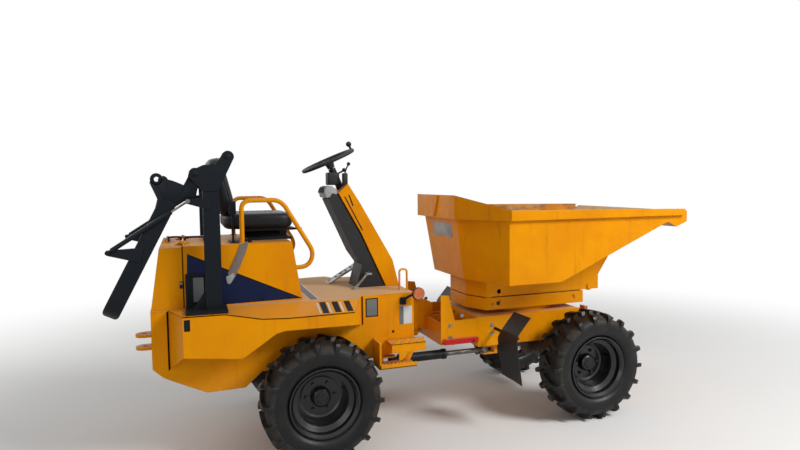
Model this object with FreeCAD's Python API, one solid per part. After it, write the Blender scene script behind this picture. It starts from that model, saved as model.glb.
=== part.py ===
import FreeCAD, Part
import math
import os

V = FreeCAD.Vector

# Site dumper with a swivel skip and a folding roll bar, millimetres.
# +X is forward, +Y is left, +Z is up, and the ground is z = 0.

# Running gear
REAR_AXLE_X = -752.0
PIVOT_TO_FRONT_AXLE = 1124.0
HALF_TRACK = 546.0
TYRE_R = 374.0
TYRE_WIDTH = 264.0
TYRE_WALL = 20.0
TREAD_DEPTH = 30.0
LUGS_PER_SIDE = 18
LUG_WIDTH = 27.0
LUG_SWEEP = 74.0
RIM_FLANGE_R = 212.0
RIM_WIDTH = 232.0
RIM_WELL_R = 164.0
RIM_WALL = 8.0
DISC_SET_IN = 34.0
HUB_CAP_R = 62.0
HUB_CAP_LENGTH = 46.0
WHEEL_STUD_CIRCLE_R = 88.0
WHEEL_STUDS = 6
STUD_R = 11.0
SPINDLE_R = 30.0
SPINDLE_FIT = 0.05
AXLE_TUBE_R = 44.0
AXLE_CASE_R = 104.0
HUB_FLANGE_R = 96.0
HUB_FLANGE_THICK = 22.0

# Gaps
WORKING_GAP = 6.0
SEAT_GAP = 0.3
PIN_FIT = 0.05

# Rear chassis
REAR_HALF_WIDTH = 400.0
PLATE = 8.0
REAR_END = 945.0
CHASSIS_NOSE = 656.0
JAW_REACH = 144.0
PIVOT_AHEAD = CHASSIS_NOSE + JAW_REACH
FRONT_AXLE_X = REAR_AXLE_X + PIVOT_AHEAD + PIVOT_TO_FRONT_AXLE
DECK_Z = 950.0
FENDER_HALF_WIDTH = 615.0
FENDER_REAR = 773.0
FENDER_FRONT = 198.0
BELLY_Z = 533.0
SUMP_Z = 441.0
COVER_HALF_WIDTH = 380.0
COVER_TOP_Z = 1312.0
COVER_REAR = 760.0
HOOD_HALF_WIDTH = 388.0
HOOD_LEAN = 54.0
HOOD_OPEN_DEG = 60.0
HOOD_HINGE_RISE = 11.0
HOOD_HINGE_Y = 200.0
HOOD_KNUCKLE_R = 9.0
HOOD_PIN_R = 5.0
ENGINE_LENGTH = 540.0
ENGINE_HALF_WIDTH = 190.0
ENGINE_REAR = 700.0
ENGINE_MOUNT_Z = 562.0
ENGINE_TOP_Z = COVER_TOP_Z - 190.0

# Roll bar
POST_Y = 500.0
POST_BACK = 645.0
POST_DEPTH = 90.0
POST_WIDTH = 70.0
POST_TOP_Z = 1777.0
POST_TUBE_TOP_Z = 1712.0
CHEEK = 10.0
ROLL_HINGE_BACK = 681.0
ROLL_HINGE_Z = 1728.0
ROLL_PIN_R = 14.0
EAR_REACH = 202.0
EAR_ANGLE = 28.0
ROLL_FOLD_DEG = 160.0
LEG_ANGLE = 242.7
LEG_OFFSET = 58.0
LEG_START = 78.0
LEG_END = 905.0
LEG_DEPTH = 90.0
LEG_WIDTH = 60.0

# Gas struts of the roll bar
STRUT_FOOT_BACK = 723.0
STRUT_FOOT_Z = 1577.0
STRUT_HEAD_BACK = 1133.0
STRUT_HEAD_Z = 1311.0
STRUT_Y = 560.0
STRUT_BARREL_R = 13.0
STRUT_ROD_R = 6.0
STRUT_BARREL_LENGTH = 385.0
STRUT_BORE_START = 50.0

# Articulation
PIVOT_PIN_R = 25.0
JAW_PLATE = 20.0
JAW_LOW_Z = 580.0
JAW_HIGH_Z = 832.0
BARREL_R = 48.0
STEER_Y = -262.0
STEER_Z = 470.0
STEER_FOOT_AHEAD = CHASSIS_NOSE - 111.0
STEER_HEAD_AHEAD = PIVOT_AHEAD + 447.0
STEER_BARREL_R = 32.0
STEER_ROD_R = 17.0
STEER_BARREL_LENGTH = 395.0
STEER_CLEVIS_HALF = 21.0
STEER_PIN_R = 14.0
STEER_EYE_R = 26.0
STEER_EYE_HALF = 18.0
STEER_CLOSING = 155.0
STEER_CLEVIS_REACH = 78.0

# Front chassis, measured back (-) or ahead (+) of the front axle
FRONT_HALF_WIDTH = 330.0
POST_X = -1043.0
BOX_REAR = -764.0
BOX_FRONT = 76.0
BOX_TOP_Z = 722.0
BOX_LOW_Z = 512.0
SLEW_X = FRONT_AXLE_X - 274.0
SLEW_R = 270.0
SLEW_TOP_Z = 750.0

# Swivel frame
FRAME_HALF_WIDTH = 300.0
FRAME_RAIL = 60.0
FRAME_REAR = 405.0
FRAME_FRONT = 405.0
FRAME_LOW_Z = 758.0
FRAME_TOP_Z = 845.0
TAIL_REACH = 82.0
TAIL_HALF_WIDTH = 135.0
TIP_HINGE_AHEAD = 455.0
TIP_HINGE_Z = 875.0
TIP_PIN_R = 18.0
LUG_PLATE = 24.0

# Skip
SKIP_HALF_WIDTH = 640.0
RIM_PROUD = 27.0
SKIP_WALL = 6.0
SKIP_FLOOR_Z = 987.0
RIM_LOW_Z = 1412.0
RIM_SIDE_FRONT_Z = 1456.0
RIM_SIDE_REAR_Z = 1480.0
RIM_BACK_Z = 1577.0
SKIP_BACK_LOW = -565.0
SKIP_BACK_HIGH = -630.0
SKIP_CORNER = -416.0
SKIP_BEND = -18.0
SKIP_LIP = 1046.0
BACK_HALF_LOW = 263.0
BACK_HALF_HIGH = 290.0
LIP_Z = 1440.0
RAIL_LOW_Z = 853.0
RAIL_TOP_Z = 921.0

# Tip cylinder
TIP_FOOT_BACK = -318.0
TIP_FOOT_Z = 826.0
TIP_HEAD_AHEAD = 200.0
TIP_HEAD_Z = 930.0
TIP_BARREL_R = 42.0
TIP_ROD_R = 22.0
TIP_BARREL_LENGTH = 400.0
TIP_EYE_R = 30.0
TIP_EYE_HALF = 24.0
TIP_EYE_PIN_R = 16.0
TIP_CLEVIS_HALF = 28.0
RAM_NECK = 20.0

# Steering wheel and console
WHEEL_X = CHASSIS_NOSE - 464.0
WHEEL_Z = 1821.0
WHEEL_TILT = 23.7
WHEEL_R = 180.0
WHEEL_GRIP_R = 13.0
COLUMN_R = 25.0
CONSOLE_HALF_WIDTH = 115.0
PEDAL_SLOTS = 4
STEP_TEETH = 9

# Seat and rails
SEAT_HALF_WIDTH = 235.0
SEAT_LOW_Z = COVER_TOP_Z + 76.0
SEAT_TOP_Z = SEAT_LOW_Z + 134.0
SEAT_FRONT = -52.0
SEAT_REAR = -520.0
RAIL_Y = 352.0
RAIL_TUBE_R = 14.0
RAIL_RISE = 258.0
RAIL_DROP = 162.0


def rear(x):
    """Place measured ahead of the rear axle."""
    return REAR_AXLE_X + x


def nose(x):
    """Place measured ahead of the rear chassis's nose."""
    return REAR_AXLE_X + CHASSIS_NOSE + x


def front(x):
    """Place measured ahead of the front axle."""
    return FRONT_AXLE_X + x


def slew(x):
    """Place measured ahead of the swivel's centre."""
    return SLEW_X + x


def block(x0, x1, y0, y1, z0, z1):
    """Box between two corners."""
    return Part.makeBox(x1 - x0, y1 - y0, z1 - z0, V(x0, y0, z0))


def face_of(points):
    """Flat face with straight sides."""
    return Part.Face(Part.makePolygon(points + [points[0]]))


def side_prism(outline, y0, y1):
    """Outline of (x, z) points drawn from the side, run across from y0 to y1."""
    return face_of([V(x, y0, z) for x, z in outline]).extrude(V(0, y1 - y0, 0))


def plan_prism(outline, z0, z1):
    """Outline of (x, y) points seen from above, run up from z0 to z1."""
    return face_of([V(x, y, z0) for x, y in outline]).extrude(V(0, 0, z1 - z0))


def inset(outline, wall):
    """The outline with each side moved inwards by a wall's thickness."""
    count = len(outline)
    area = sum(outline[i][0] * outline[(i + 1) % count][1] - outline[(i + 1) % count][0] * outline[i][1]
               for i in range(count))
    turn = 1.0 if area > 0 else -1.0
    moved = []
    for i in range(count):
        before, here, after = outline[i - 1], outline[i], outline[(i + 1) % count]
        first = V(here[0] - before[0], here[1] - before[1], 0).normalize()
        second = V(after[0] - here[0], after[1] - here[1], 0).normalize()
        left_first = V(-first.y, first.x, 0) * turn
        left_second = V(-second.y, second.x, 0) * turn
        share = wall / (1.0 + left_first.dot(left_second))
        shift = (left_first + left_second) * share
        moved.append((here[0] + shift.x, here[1] + shift.y))
    return moved


def rod(start, end, radius):
    """Round bar between two points."""
    return Part.makeCylinder(radius, (end - start).Length, start, end - start)


def across(x, z, y0, y1, radius):
    """Round bar across the machine at one place seen from the side."""
    return Part.makeCylinder(radius, y1 - y0, V(x, y0, z), V(0, 1, 0))


def upright(x, y, z0, z1, radius):
    """Round bar that stands upright."""
    return Part.makeCylinder(radius, z1 - z0, V(x, y, z0))


def fused(shapes):
    """One solid of several that touch or overlap."""
    whole = shapes[0].multiFuse(shapes[1:])
    return whole.removeSplitter()


def mirrored(shape):
    """The same shape on the machine's other side."""
    return shape.mirror(V(0, 0, 0), V(0, 1, 0))


def both_sides(shape):
    """A pair of like solids, right and left."""
    return Part.makeCompound([shape, mirrored(shape)])


def revolved(profile):
    """Profile of (radius, y) points turned about the Y axis."""
    return face_of([V(r, y, 0) for r, y in profile]).revolve(V(0, 0, 0), V(0, 1, 0), 360)


def moved(shape, x, y, z):
    """A copy of the shape at a place."""
    copy = shape.copy()
    copy.translate(V(x, y, z))
    return copy


def bent_tube(points, bend_r, tube_r):
    """Tube along straight runs joined by tangent arcs of one radius."""
    edges = []
    start = points[0]
    for i in range(1, len(points) - 1):
        corner = points[i]
        back = (points[i - 1] - corner).normalize()
        ahead = (points[i + 1] - corner).normalize()
        half = back.getAngle(ahead) / 2.0
        cut = bend_r / math.tan(half)
        first = corner + back * cut
        last = corner + ahead * cut
        middle = (back + ahead).normalize()
        crown = corner + middle * (bend_r / math.sin(half) - bend_r)
        edges.append(Part.LineSegment(start, first).toShape())
        edges.append(Part.Arc(first, crown, last).toShape())
        start = last
    edges.append(Part.LineSegment(start, points[-1]).toShape())
    path = Part.Wire(edges)
    ring = Part.Wire([Part.Circle(points[0], points[1] - points[0], tube_r).toShape()])
    return path.makePipeShell([ring], True, False)


def make_tyre():
    """Tractor tyre about the Y axis: hollow carcass and two rows of slanted lugs."""
    half = TYRE_WIDTH / 2.0
    bead_half = RIM_WIDTH / 2.0 - 12.0
    bead_r = RIM_FLANGE_R - 14.0
    base_r = TYRE_R - TREAD_DEPTH
    crown_r = base_r + 4.0
    wall = TYRE_WALL
    right = [(crown_r, 0), (base_r, half * 0.72), (base_r - 22, half * 0.95), (base_r - 62, half),
             (RIM_FLANGE_R + 32, half - 4), (RIM_FLANGE_R + 4, bead_half - 1), (bead_r, bead_half - 1),
             (bead_r, bead_half - wall), (RIM_FLANGE_R + 30, half - wall - 4), (base_r - 64, half - wall),
             (base_r - wall - 8, half * 0.8), (crown_r - wall, 0)]
    left = [(r, -y) for r, y in reversed(right[1:-1])]
    carcass = revolved(right + left)

    envelope_half = [(TYRE_R, 0), (TYRE_R - 2, half * 0.66), (TYRE_R - 12, half * 0.93),
                     (base_r - 12, half + 1), (base_r - 34, half + 1), (base_r - 40, half - 8),
                     (base_r - 22, half * 0.9), (base_r - 10, 0)]
    envelope = revolved(envelope_half + [(r, -y) for r, y in reversed(envelope_half[1:-1])])

    foot = half + 6.0
    bend = half * 0.42
    inner_end = -9.0
    width = LUG_WIDTH
    lug_plan = [(0, foot), (width + 6, foot), (width + LUG_SWEEP * 0.36, bend), (width + LUG_SWEEP, inner_end + 8),
                (width + LUG_SWEEP - 6, inner_end), (LUG_SWEEP - 4, inner_end), (LUG_SWEEP * 0.32, bend)]
    upper = face_of([V(TYRE_R + 12, y, -t) for t, y in lug_plan]).extrude(V(-TREAD_DEPTH - 58, 0, 0))
    pitch = 360.0 / LUGS_PER_SIDE
    lugs = []
    for i in range(LUGS_PER_SIDE):
        one = upper.copy()
        one.rotate(V(0, 0, 0), V(0, 1, 0), i * pitch)
        other = upper.mirror(V(0, 0, 0), V(0, 1, 0))
        other.rotate(V(0, 0, 0), V(0, 1, 0), (i + 0.5) * pitch)
        lugs.extend([one, other])
    bars = envelope.common(Part.makeCompound(lugs))
    return fused([carcass] + bars.Solids)


def make_rim():
    """Deep-dished wheel about the Y axis, its outside towards +Y."""
    half = RIM_WIDTH / 2.0
    flange = RIM_FLANGE_R
    seat = flange - 15.0
    well = RIM_WELL_R
    wall = RIM_WALL
    outer = [(flange, half), (flange, half - 10), (seat, half - 13), (seat - 5, half - 50), (well, half - 66),
             (well, -half + 66), (seat - 5, -half + 50), (seat, -half + 13), (flange, -half + 10),
             (flange, -half)]
    inner = [(flange - 9, -half), (seat - wall, -half + 16), (seat - wall - 4, -half + 46),
             (well - wall, -half + 62), (well - wall, half - 62), (seat - wall - 4, half - 46),
             (seat - wall, half - 16), (flange - 9, half)]
    barrel = revolved(outer + inner)
    disc_out = -DISC_SET_IN
    disc_in = disc_out - 12.0
    bore = SPINDLE_R + SPINDLE_FIT
    cap_end = disc_out + HUB_CAP_LENGTH
    disc = revolved([(bore, disc_in), (well - wall + 1, disc_in), (well - wall + 1, disc_out + 6),
                     (well - 34, disc_out + 6), (well - 46, disc_out), (HUB_CAP_R, disc_out),
                     (HUB_CAP_R - 6, cap_end - 8), (HUB_CAP_R - 16, cap_end), (0, cap_end),
                     (0, cap_end - 12), (bore, cap_end - 12)])
    studs = []
    for i in range(WHEEL_STUDS):
        turn = math.radians(i * 360.0 / WHEEL_STUDS)
        place = V(WHEEL_STUD_CIRCLE_R * math.cos(turn), disc_out - 1, WHEEL_STUD_CIRCLE_R * math.sin(turn))
        studs.append(Part.makeCylinder(STUD_R, 19, place, V(0, 1, 0)))
    return fused([barrel, disc] + studs)


def make_axle(axle_x, reach, mount_top, mount_half):
    """Axle casing, tubes, hub flanges and spindles, with pads up to the frame."""
    face = HALF_TRACK - DISC_SET_IN - 12.0 - SEAT_GAP
    spindle_end = HALF_TRACK - DISC_SET_IN + HUB_CAP_LENGTH - 12.0 - 2.0
    tube = AXLE_TUBE_R
    half = [(AXLE_CASE_R, 0), (AXLE_CASE_R, 46), (AXLE_CASE_R - 26, 84), (tube + 6, 116), (tube, 150),
            (tube, face - HUB_FLANGE_THICK - 40), (tube + 18, face - HUB_FLANGE_THICK - 8),
            (HUB_FLANGE_R, face - HUB_FLANGE_THICK), (HUB_FLANGE_R, face), (SPINDLE_R, face),
            (SPINDLE_R, spindle_end), (0, spindle_end)]
    beam = revolved(half + [(r, -y) for r, y in reversed(half[1:])])
    beam.translate(V(axle_x, 0, TYRE_R))
    snout = rod(V(axle_x, 0, TYRE_R), V(axle_x + reach, 0, TYRE_R), 42.0)
    coupling = rod(V(axle_x + reach * 0.86, 0, TYRE_R), V(axle_x + reach, 0, TYRE_R), 58.0)
    pads = []
    for side in (-1, 1):
        y = side * mount_half
        pads.append(block(axle_x - 48, axle_x + 48, y - 38, y + 38, TYRE_R, mount_top))
    return fused([beam, snout, coupling] + pads)


def rear_outline():
    """Side view of the rear chassis below the deck."""
    top = DECK_Z - PLATE
    return [(rear(-REAR_END), 612), (rear(-885), 556), (rear(-755), 491), (rear(-648), SUMP_Z),
            (rear(-430), SUMP_Z + 4), (rear(-330), BELLY_Z), (rear(330), BELLY_Z),
            (rear(CHASSIS_NOSE), BELLY_Z + 40), (rear(CHASSIS_NOSE), top), (rear(-REAR_END), top)]


def make_steer_clevis(pin_x, away, top):
    """Two level plates round a steering pin and the web that carries them from above."""
    half = STEER_CLEVIS_HALF
    plates = []
    for z in (STEER_Z - half - 10, STEER_Z + half):
        far = pin_x + away * (STEER_CLEVIS_REACH + 12)
        plate = block(min(pin_x, far), max(pin_x, far), STEER_Y - 26, STEER_Y + 26, z, z + 10)
        plates.append(plate.fuse(upright(pin_x, STEER_Y, z, z + 10, 26)))
    web_x = pin_x + away * STEER_CLEVIS_REACH
    web = block(web_x - 12, web_x + 12, STEER_Y - 26, STEER_Y + 26, STEER_Z - half - 10, top)
    return fused(plates + [web])


def make_rear_chassis():
    """Welded tub of plate with engine mounts, the tow jaw and the steering ram's lug."""
    outline = rear_outline()
    half = REAR_HALF_WIDTH
    top = DECK_Z - PLATE
    outer = side_prism(outline, -half, half)
    inner = side_prism(inset(outline, PLATE), -half + PLATE, half - PLATE)
    opening = block(rear(-REAR_END + PLATE), rear(CHASSIS_NOSE - PLATE), -half + PLATE, half - PLATE,
                    top - 2 * PLATE, top + 1)
    tub = outer.cut(inner).cut(opening)
    mounts = []
    for x, low in ((-ENGINE_REAR + 100, SUMP_Z + 1), (-ENGINE_REAR + ENGINE_LENGTH - 60, BELLY_Z + 1)):
        mounts.append(block(rear(x - 30), rear(x + 30), -half + 1, half - 1, low, ENGINE_MOUNT_Z))
    tow_x = rear(-REAR_END)
    tow = []
    for z in (640, 720):
        plate = block(tow_x - 60, tow_x + 3, -55, 55, z, z + 16)
        jaw = plate.fuse(upright(tow_x - 60, 0, z, z + 16, 55))
        tow.append(jaw.cut(upright(tow_x - 60, 0, z - 1, z + 17, 14)))
    clevis = make_steer_clevis(rear(STEER_FOOT_AHEAD), -1, BELLY_Z + 30)
    pin = upright(rear(STEER_FOOT_AHEAD), STEER_Y, STEER_Z - STEER_CLEVIS_HALF - 14,
                  STEER_Z + STEER_CLEVIS_HALF + 14, STEER_PIN_R)
    return fused([tub] + mounts + tow + [clevis, pin])


def make_deck():
    """Platform floor with both rear fenders and their skirts."""
    half = REAR_HALF_WIDTH
    wide = FENDER_HALF_WIDTH
    low = DECK_Z - PLATE
    outer_half = [(rear(-850), half), (rear(-FENDER_REAR), wide), (rear(FENDER_FRONT), wide), (rear(300), half)]
    plan = [(x, -y) for x, y in outer_half] + [(rear(CHASSIS_NOSE), -half), (rear(CHASSIS_NOSE), half)]
    plan += list(reversed(outer_half))
    plan += [(rear(-REAR_END), half), (rear(-REAR_END), -half)]
    floor = plan_prism(plan, low, DECK_Z)
    bay = block(rear(-REAR_END + 24), rear(-96), -COVER_HALF_WIDTH + 24, COVER_HALF_WIDTH - 24, low - 1,
                DECK_Z + 1)
    skirt_plan = [(x, -y) for x, y in outer_half] + list(reversed(outer_half))
    ring = plan_prism(skirt_plan, 590, low + 1).cut(plan_prism(inset(skirt_plan, PLATE), 580, low + 2))
    skirt = [(rear(-860), 592), (rear(-773), 718), (rear(-460), 682), (rear(-268), 808), (rear(-215), 820),
             (rear(195), 817), (rear(310), 760), (rear(310), low + 1), (rear(-860), low + 1)]
    sides = ring.common(side_prism(skirt, -wide - 1, wide + 1))
    middle = block(rear(-870), rear(320), -half, half, 580, low)
    sides = sides.cut(middle)
    return fused([floor.cut(bay)] + sides.Solids)


def make_engine():
    """Engine and gearbox as one plain mass on its mounts."""
    return block(rear(-ENGINE_REAR), rear(-ENGINE_REAR + ENGINE_LENGTH), -ENGINE_HALF_WIDTH,
                 ENGINE_HALF_WIDTH, ENGINE_MOUNT_Z, ENGINE_TOP_Z)


def make_engine_cover():
    """Box under the seat, open below and behind, its front sloped."""
    half = COVER_HALF_WIDTH
    outline = [(rear(-COVER_REAR), DECK_Z), (rear(-72), DECK_Z), (rear(-128), COVER_TOP_Z),
               (rear(-COVER_REAR), COVER_TOP_Z)]
    hollow = [(rear(-COVER_REAR - 1), DECK_Z - 1), (rear(-72 - PLATE), DECK_Z - 1),
              (rear(-128 - PLATE), COVER_TOP_Z - PLATE), (rear(-COVER_REAR - 1), COVER_TOP_Z - PLATE)]
    shell = side_prism(outline, -half, half).cut(side_prism(hollow, -half + PLATE, half - PLATE))
    hinge_x, hinge_z = hood_hinge()
    leaf = hood_leaf(1, COVER_TOP_Z)
    parts = [shell]
    for y in (-HOOD_HINGE_Y, HOOD_HINGE_Y):
        parts.append(across(hinge_x, hinge_z, y - 45, y + 45, HOOD_PIN_R))
        for y0 in (y - 50, y + 25.5):
            parts.append(across(hinge_x, hinge_z, y0, y0 + 24.5, HOOD_KNUCKLE_R))
            parts.append(side_prism(leaf, y0, y0 + 24.5))
    return fused(parts)


def hood_hinge():
    """The rear hood's hinge, seen from the side, over the gap between cover and hood."""
    return (rear(-COVER_REAR - WORKING_GAP / 2.0), COVER_TOP_Z + HOOD_HINGE_RISE)


def hood_leaf(away, sheet_z):
    """Side view of a hinge leaf, from its knuckle down to the sheet that it is welded to."""
    hinge_x, hinge_z = hood_hinge()
    return [(hinge_x + away * 4, sheet_z - 1), (hinge_x + away * 44, sheet_z - 1), (hinge_x + away * 44, sheet_z + 3),
            (hinge_x + away * 5, hinge_z + 6), (hinge_x, hinge_z)]


def make_rear_hood():
    """Tilting rear bonnet, open below and towards the cover."""
    half = HOOD_HALF_WIDTH
    front_x = rear(-COVER_REAR - WORKING_GAP)
    low = DECK_Z + SEAT_GAP
    back = rear(-REAR_END + 3)
    top = COVER_TOP_Z - 6.0
    outline = [(back, low), (front_x, low), (front_x, top), (back + HOOD_LEAN, top)]
    hollow = [(back + PLATE, low - 1), (front_x + 1, low - 1), (front_x + 1, top - PLATE),
              (back + HOOD_LEAN + PLATE, top - PLATE)]
    shell = side_prism(outline, -half, half).cut(side_prism(hollow, -half + PLATE, half - PLATE))
    bar_z = top + 14
    bar = rod(V(back + HOOD_LEAN + 34, -60, bar_z), V(back + HOOD_LEAN + 34, 240, bar_z), 7)
    parts = [shell, bar]
    for y in (-52, 232):
        parts.append(block(back + HOOD_LEAN + 28, back + HOOD_LEAN + 40, y - 6, y + 6, top - 1, bar_z))
    hinge_x, hinge_z = hood_hinge()
    leaf = hood_leaf(-1, top)
    for y in (-HOOD_HINGE_Y, HOOD_HINGE_Y):
        knuckle = across(hinge_x, hinge_z, y - 25, y + 25, HOOD_KNUCKLE_R).fuse(side_prism(leaf, y - 25, y + 25))
        parts.append(knuckle.cut(across(hinge_x, hinge_z, y - 26, y + 26, HOOD_PIN_R + PIN_FIT)))
    return fused(parts)


def polar(x, z, reach, angle):
    """Place at a distance and an angle, seen from the right side, from a centre."""
    return (x + reach * math.cos(math.radians(angle)), z + reach * math.sin(math.radians(angle)))


def roll_hinge():
    """The roll bar's hinge, seen from the side."""
    return (rear(-ROLL_HINGE_BACK), ROLL_HINGE_Z)


def make_posts():
    """Fixed posts on foot plates, with hinge cheeks, ears and strut brackets."""
    back = rear(-POST_BACK)
    ahead = back + POST_DEPTH
    low = DECK_Z
    inner = POST_Y - POST_WIDTH / 2.0
    outer = POST_Y + POST_WIDTH / 2.0
    tube = block(back, ahead, inner, outer, low + 12, POST_TUBE_TOP_Z)
    bore = block(back + 6, ahead - 6, inner + 6, outer - 6, low + 12, POST_TUBE_TOP_Z - 8)
    foot = block(rear(-755), rear(-528), REAR_HALF_WIDTH - 8, FENDER_HALF_WIDTH - 8, low, low + 12)
    hinge_x, hinge_z = roll_hinge()
    ear_x, ear_z = polar(hinge_x, hinge_z, EAR_REACH, EAR_ANGLE)
    plate = [(hinge_x - 30, hinge_z + 14), (hinge_x - 30, hinge_z - 22), (back + 4, hinge_z - 96),
             (ahead - 4, hinge_z - 96), (ear_x + 30, ear_z - 12), (ear_x + 20, ear_z + 22),
             (ear_x - 22, ear_z + 22), (ahead - 18, POST_TOP_Z), (back + 10, POST_TOP_Z)]
    parts = [tube.cut(bore), foot]
    for y in (inner - CHEEK, outer):
        cheek = side_prism(plate, y, y + CHEEK).fuse(across(ear_x, ear_z, y, y + CHEEK, 33))
        cheek = cheek.fuse(across(hinge_x, hinge_z, y, y + CHEEK, 33))
        parts.append(cheek.cut(across(ear_x, ear_z, y - 1, y + CHEEK + 1, 13)))
    parts.append(across(hinge_x, hinge_z, inner - CHEEK, outer + CHEEK, ROLL_PIN_R))
    foot_x = rear(-STRUT_FOOT_BACK)
    bracket = [(back + 40, STRUT_FOOT_Z + 16), (foot_x - 10, STRUT_FOOT_Z + 14), (foot_x - 14, STRUT_FOOT_Z - 12),
               (back + 40, STRUT_FOOT_Z - 52)]
    parts.append(side_prism(bracket, outer, outer + CHEEK))
    gusset = [(back, low + 12), (back, low + 120), (back - 70, low + 12)]
    parts.append(side_prism(gusset, POST_Y - 5, POST_Y + 5))
    return both_sides(fused(parts))


def leg_point(along, out):
    """Point of the folded leg: along it from the hinge, and out from its middle line."""
    hinge_x, hinge_z = roll_hinge()
    run = math.radians(LEG_ANGLE)
    ahead = (math.cos(run), math.sin(run))
    side = (-math.sin(run), math.cos(run))
    across_by = out - LEG_OFFSET
    return (hinge_x + ahead[0] * along - side[0] * -across_by, hinge_z + ahead[1] * along + side[1] * across_by)


def make_hoop():
    """Folding hoop: two legs, a cross bar with round corners, knuckles, ears and strut brackets."""
    half = LEG_DEPTH / 2.0
    hinge_x, hinge_z = roll_hinge()
    start = leg_point(LEG_START, 0)
    end = leg_point(LEG_END - half, 0)
    width = LEG_WIDTH / 2.0
    bend = 110.0
    run = V(end[0] - start[0], 0, end[1] - start[1]).normalize()
    side = V(-run.z, 0, run.x)
    across_dir = V(0, 1, 0)

    def section(centre, flat):
        corners = [(-half, -width), (half, -width), (half, width), (-half, width)]
        return Part.Wire(Part.makePolygon([centre + side * a + flat * b for a, b in corners + corners[:1]]))

    base = V(start[0], 0, start[1])
    tip = V(end[0], 0, end[1])
    right_start = base - across_dir * POST_Y
    right_bend = tip - across_dir * POST_Y - run * bend
    left_bend = tip + across_dir * POST_Y - run * bend
    left_start = base + across_dir * POST_Y
    quarter = bend * math.sqrt(0.5)
    right_centre = right_bend + across_dir * bend
    left_centre = left_bend - across_dir * bend
    edges = [Part.LineSegment(right_start, right_bend).toShape(),
             Part.Arc(right_bend, right_centre - across_dir * quarter + run * quarter,
                      right_centre + run * bend).toShape(),
             Part.LineSegment(right_centre + run * bend, left_centre + run * bend).toShape(),
             Part.Arc(left_centre + run * bend, left_centre + across_dir * quarter + run * quarter,
                      left_bend).toShape(),
             Part.LineSegment(left_bend, left_start).toShape()]
    path = Part.Wire(edges)
    bar = path.makePipeShell([section(right_start, across_dir)], True, True)

    ear_x, ear_z = polar(hinge_x, hinge_z, EAR_REACH, EAR_ANGLE + ROLL_FOLD_DEG)
    knuckle_y = LEG_WIDTH / 2.0
    parts = [bar]
    for side_sign in (-1, 1):
        y = side_sign * POST_Y
        knuckle = across(hinge_x, hinge_z, y - knuckle_y, y + knuckle_y, 28)
        near = leg_point(LEG_START + 6, -half + 4)
        low = leg_point(LEG_START + 150, half - 4)
        web = side_prism([(hinge_x + 2, hinge_z + 24), (ear_x + 14, ear_z + 26), (ear_x - 26, ear_z + 4),
                          low, near, (hinge_x + 8, hinge_z - 24)], y - 12, y + 12)
        eye = across(ear_x, ear_z, y - 12, y + 12, 32)
        whole = fused([knuckle, web, eye])
        whole = whole.cut(across(hinge_x, hinge_z, y - 60, y + 60, ROLL_PIN_R + PIN_FIT))
        whole = whole.cut(across(ear_x, ear_z, y - 60, y + 60, 13))
        parts.append(whole)
        head_x = rear(-STRUT_HEAD_BACK)
        mid = leg_point(LEG_START + 440, 0)
        outer = POST_Y + LEG_WIDTH / 2.0
        plate = [(head_x - 12, STRUT_HEAD_Z + 12), (mid[0] + 10, mid[1] + 36), (mid[0] - 6, mid[1] - 46),
                 (head_x - 8, STRUT_HEAD_Z - 16)]
        bracket = side_prism(plate, outer - 1, STRUT_Y - 14.5)
        parts.append(bracket if side_sign > 0 else mirrored(bracket))
    return fused(parts)


def strut_line():
    """Folded strut's two ends, head on the hoop first."""
    return V(rear(-STRUT_HEAD_BACK), STRUT_Y, STRUT_HEAD_Z), V(rear(-STRUT_FOOT_BACK), STRUT_Y, STRUT_FOOT_Z)


def make_strut_barrels():
    """Gas strut cylinders, carried by the hoop's brackets."""
    head, foot = strut_line()
    run = (foot - head).normalize()
    eye = across(head.x, head.z, STRUT_Y - 10, STRUT_Y + 10, 13)
    body = rod(head + run * 22, head + run * STRUT_BARREL_LENGTH, STRUT_BARREL_R)
    neck = rod(head, head + run * 24, 8)
    pin = across(head.x, head.z, STRUT_Y - 14.2, STRUT_Y + 14, 7)
    solid = fused([eye, body, neck, pin])
    hollow = rod(head + run * STRUT_BORE_START, head + run * (STRUT_BARREL_LENGTH + 1), STRUT_ROD_R + PIN_FIT)
    return both_sides(solid.cut(hollow))


def make_strut_rods():
    """Gas strut rods, each with an eye and its own pin at the post."""
    head, foot = strut_line()
    run = (foot - head).normalize()
    length = (foot - head).Length
    body = rod(head + run * (STRUT_BORE_START + 12), head + run * (length - 8), STRUT_ROD_R)
    eye = across(foot.x, foot.z, STRUT_Y - 10, STRUT_Y + 10, 12)
    pin = across(foot.x, foot.z, STRUT_Y - 14.2, STRUT_Y + 14, 7)
    return both_sides(fused([body, eye, pin]))


def make_pivot_jaw():
    """Two plates on the rear chassis's nose and the upright pin between the halves."""
    x = rear(PIVOT_AHEAD)
    wall = nose(0)
    parts = []
    for z in (JAW_LOW_Z, JAW_HIGH_Z):
        plate = plan_prism([(wall, -150), (wall, 150), (x, 58), (x, -58)], z, z + JAW_PLATE)
        parts.append(plate.fuse(upright(x, 0, z, z + JAW_PLATE, 58)))
    pin = upright(x, 0, JAW_LOW_Z - 14, JAW_HIGH_Z + JAW_PLATE + 14, PIVOT_PIN_R)
    heads = [upright(x, 0, JAW_LOW_Z - 22, JAW_LOW_Z - 8, PIVOT_PIN_R + 12),
             upright(x, 0, JAW_HIGH_Z + JAW_PLATE + 8, JAW_HIGH_Z + JAW_PLATE + 22, PIVOT_PIN_R + 12)]
    gussets = []
    for y in (-120, 112):
        gussets.append(block(wall, wall + 22, y, y + 8, JAW_LOW_Z + JAW_PLATE - 1, JAW_HIGH_Z + 1))
    return fused(parts + [pin] + heads + gussets)


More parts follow.
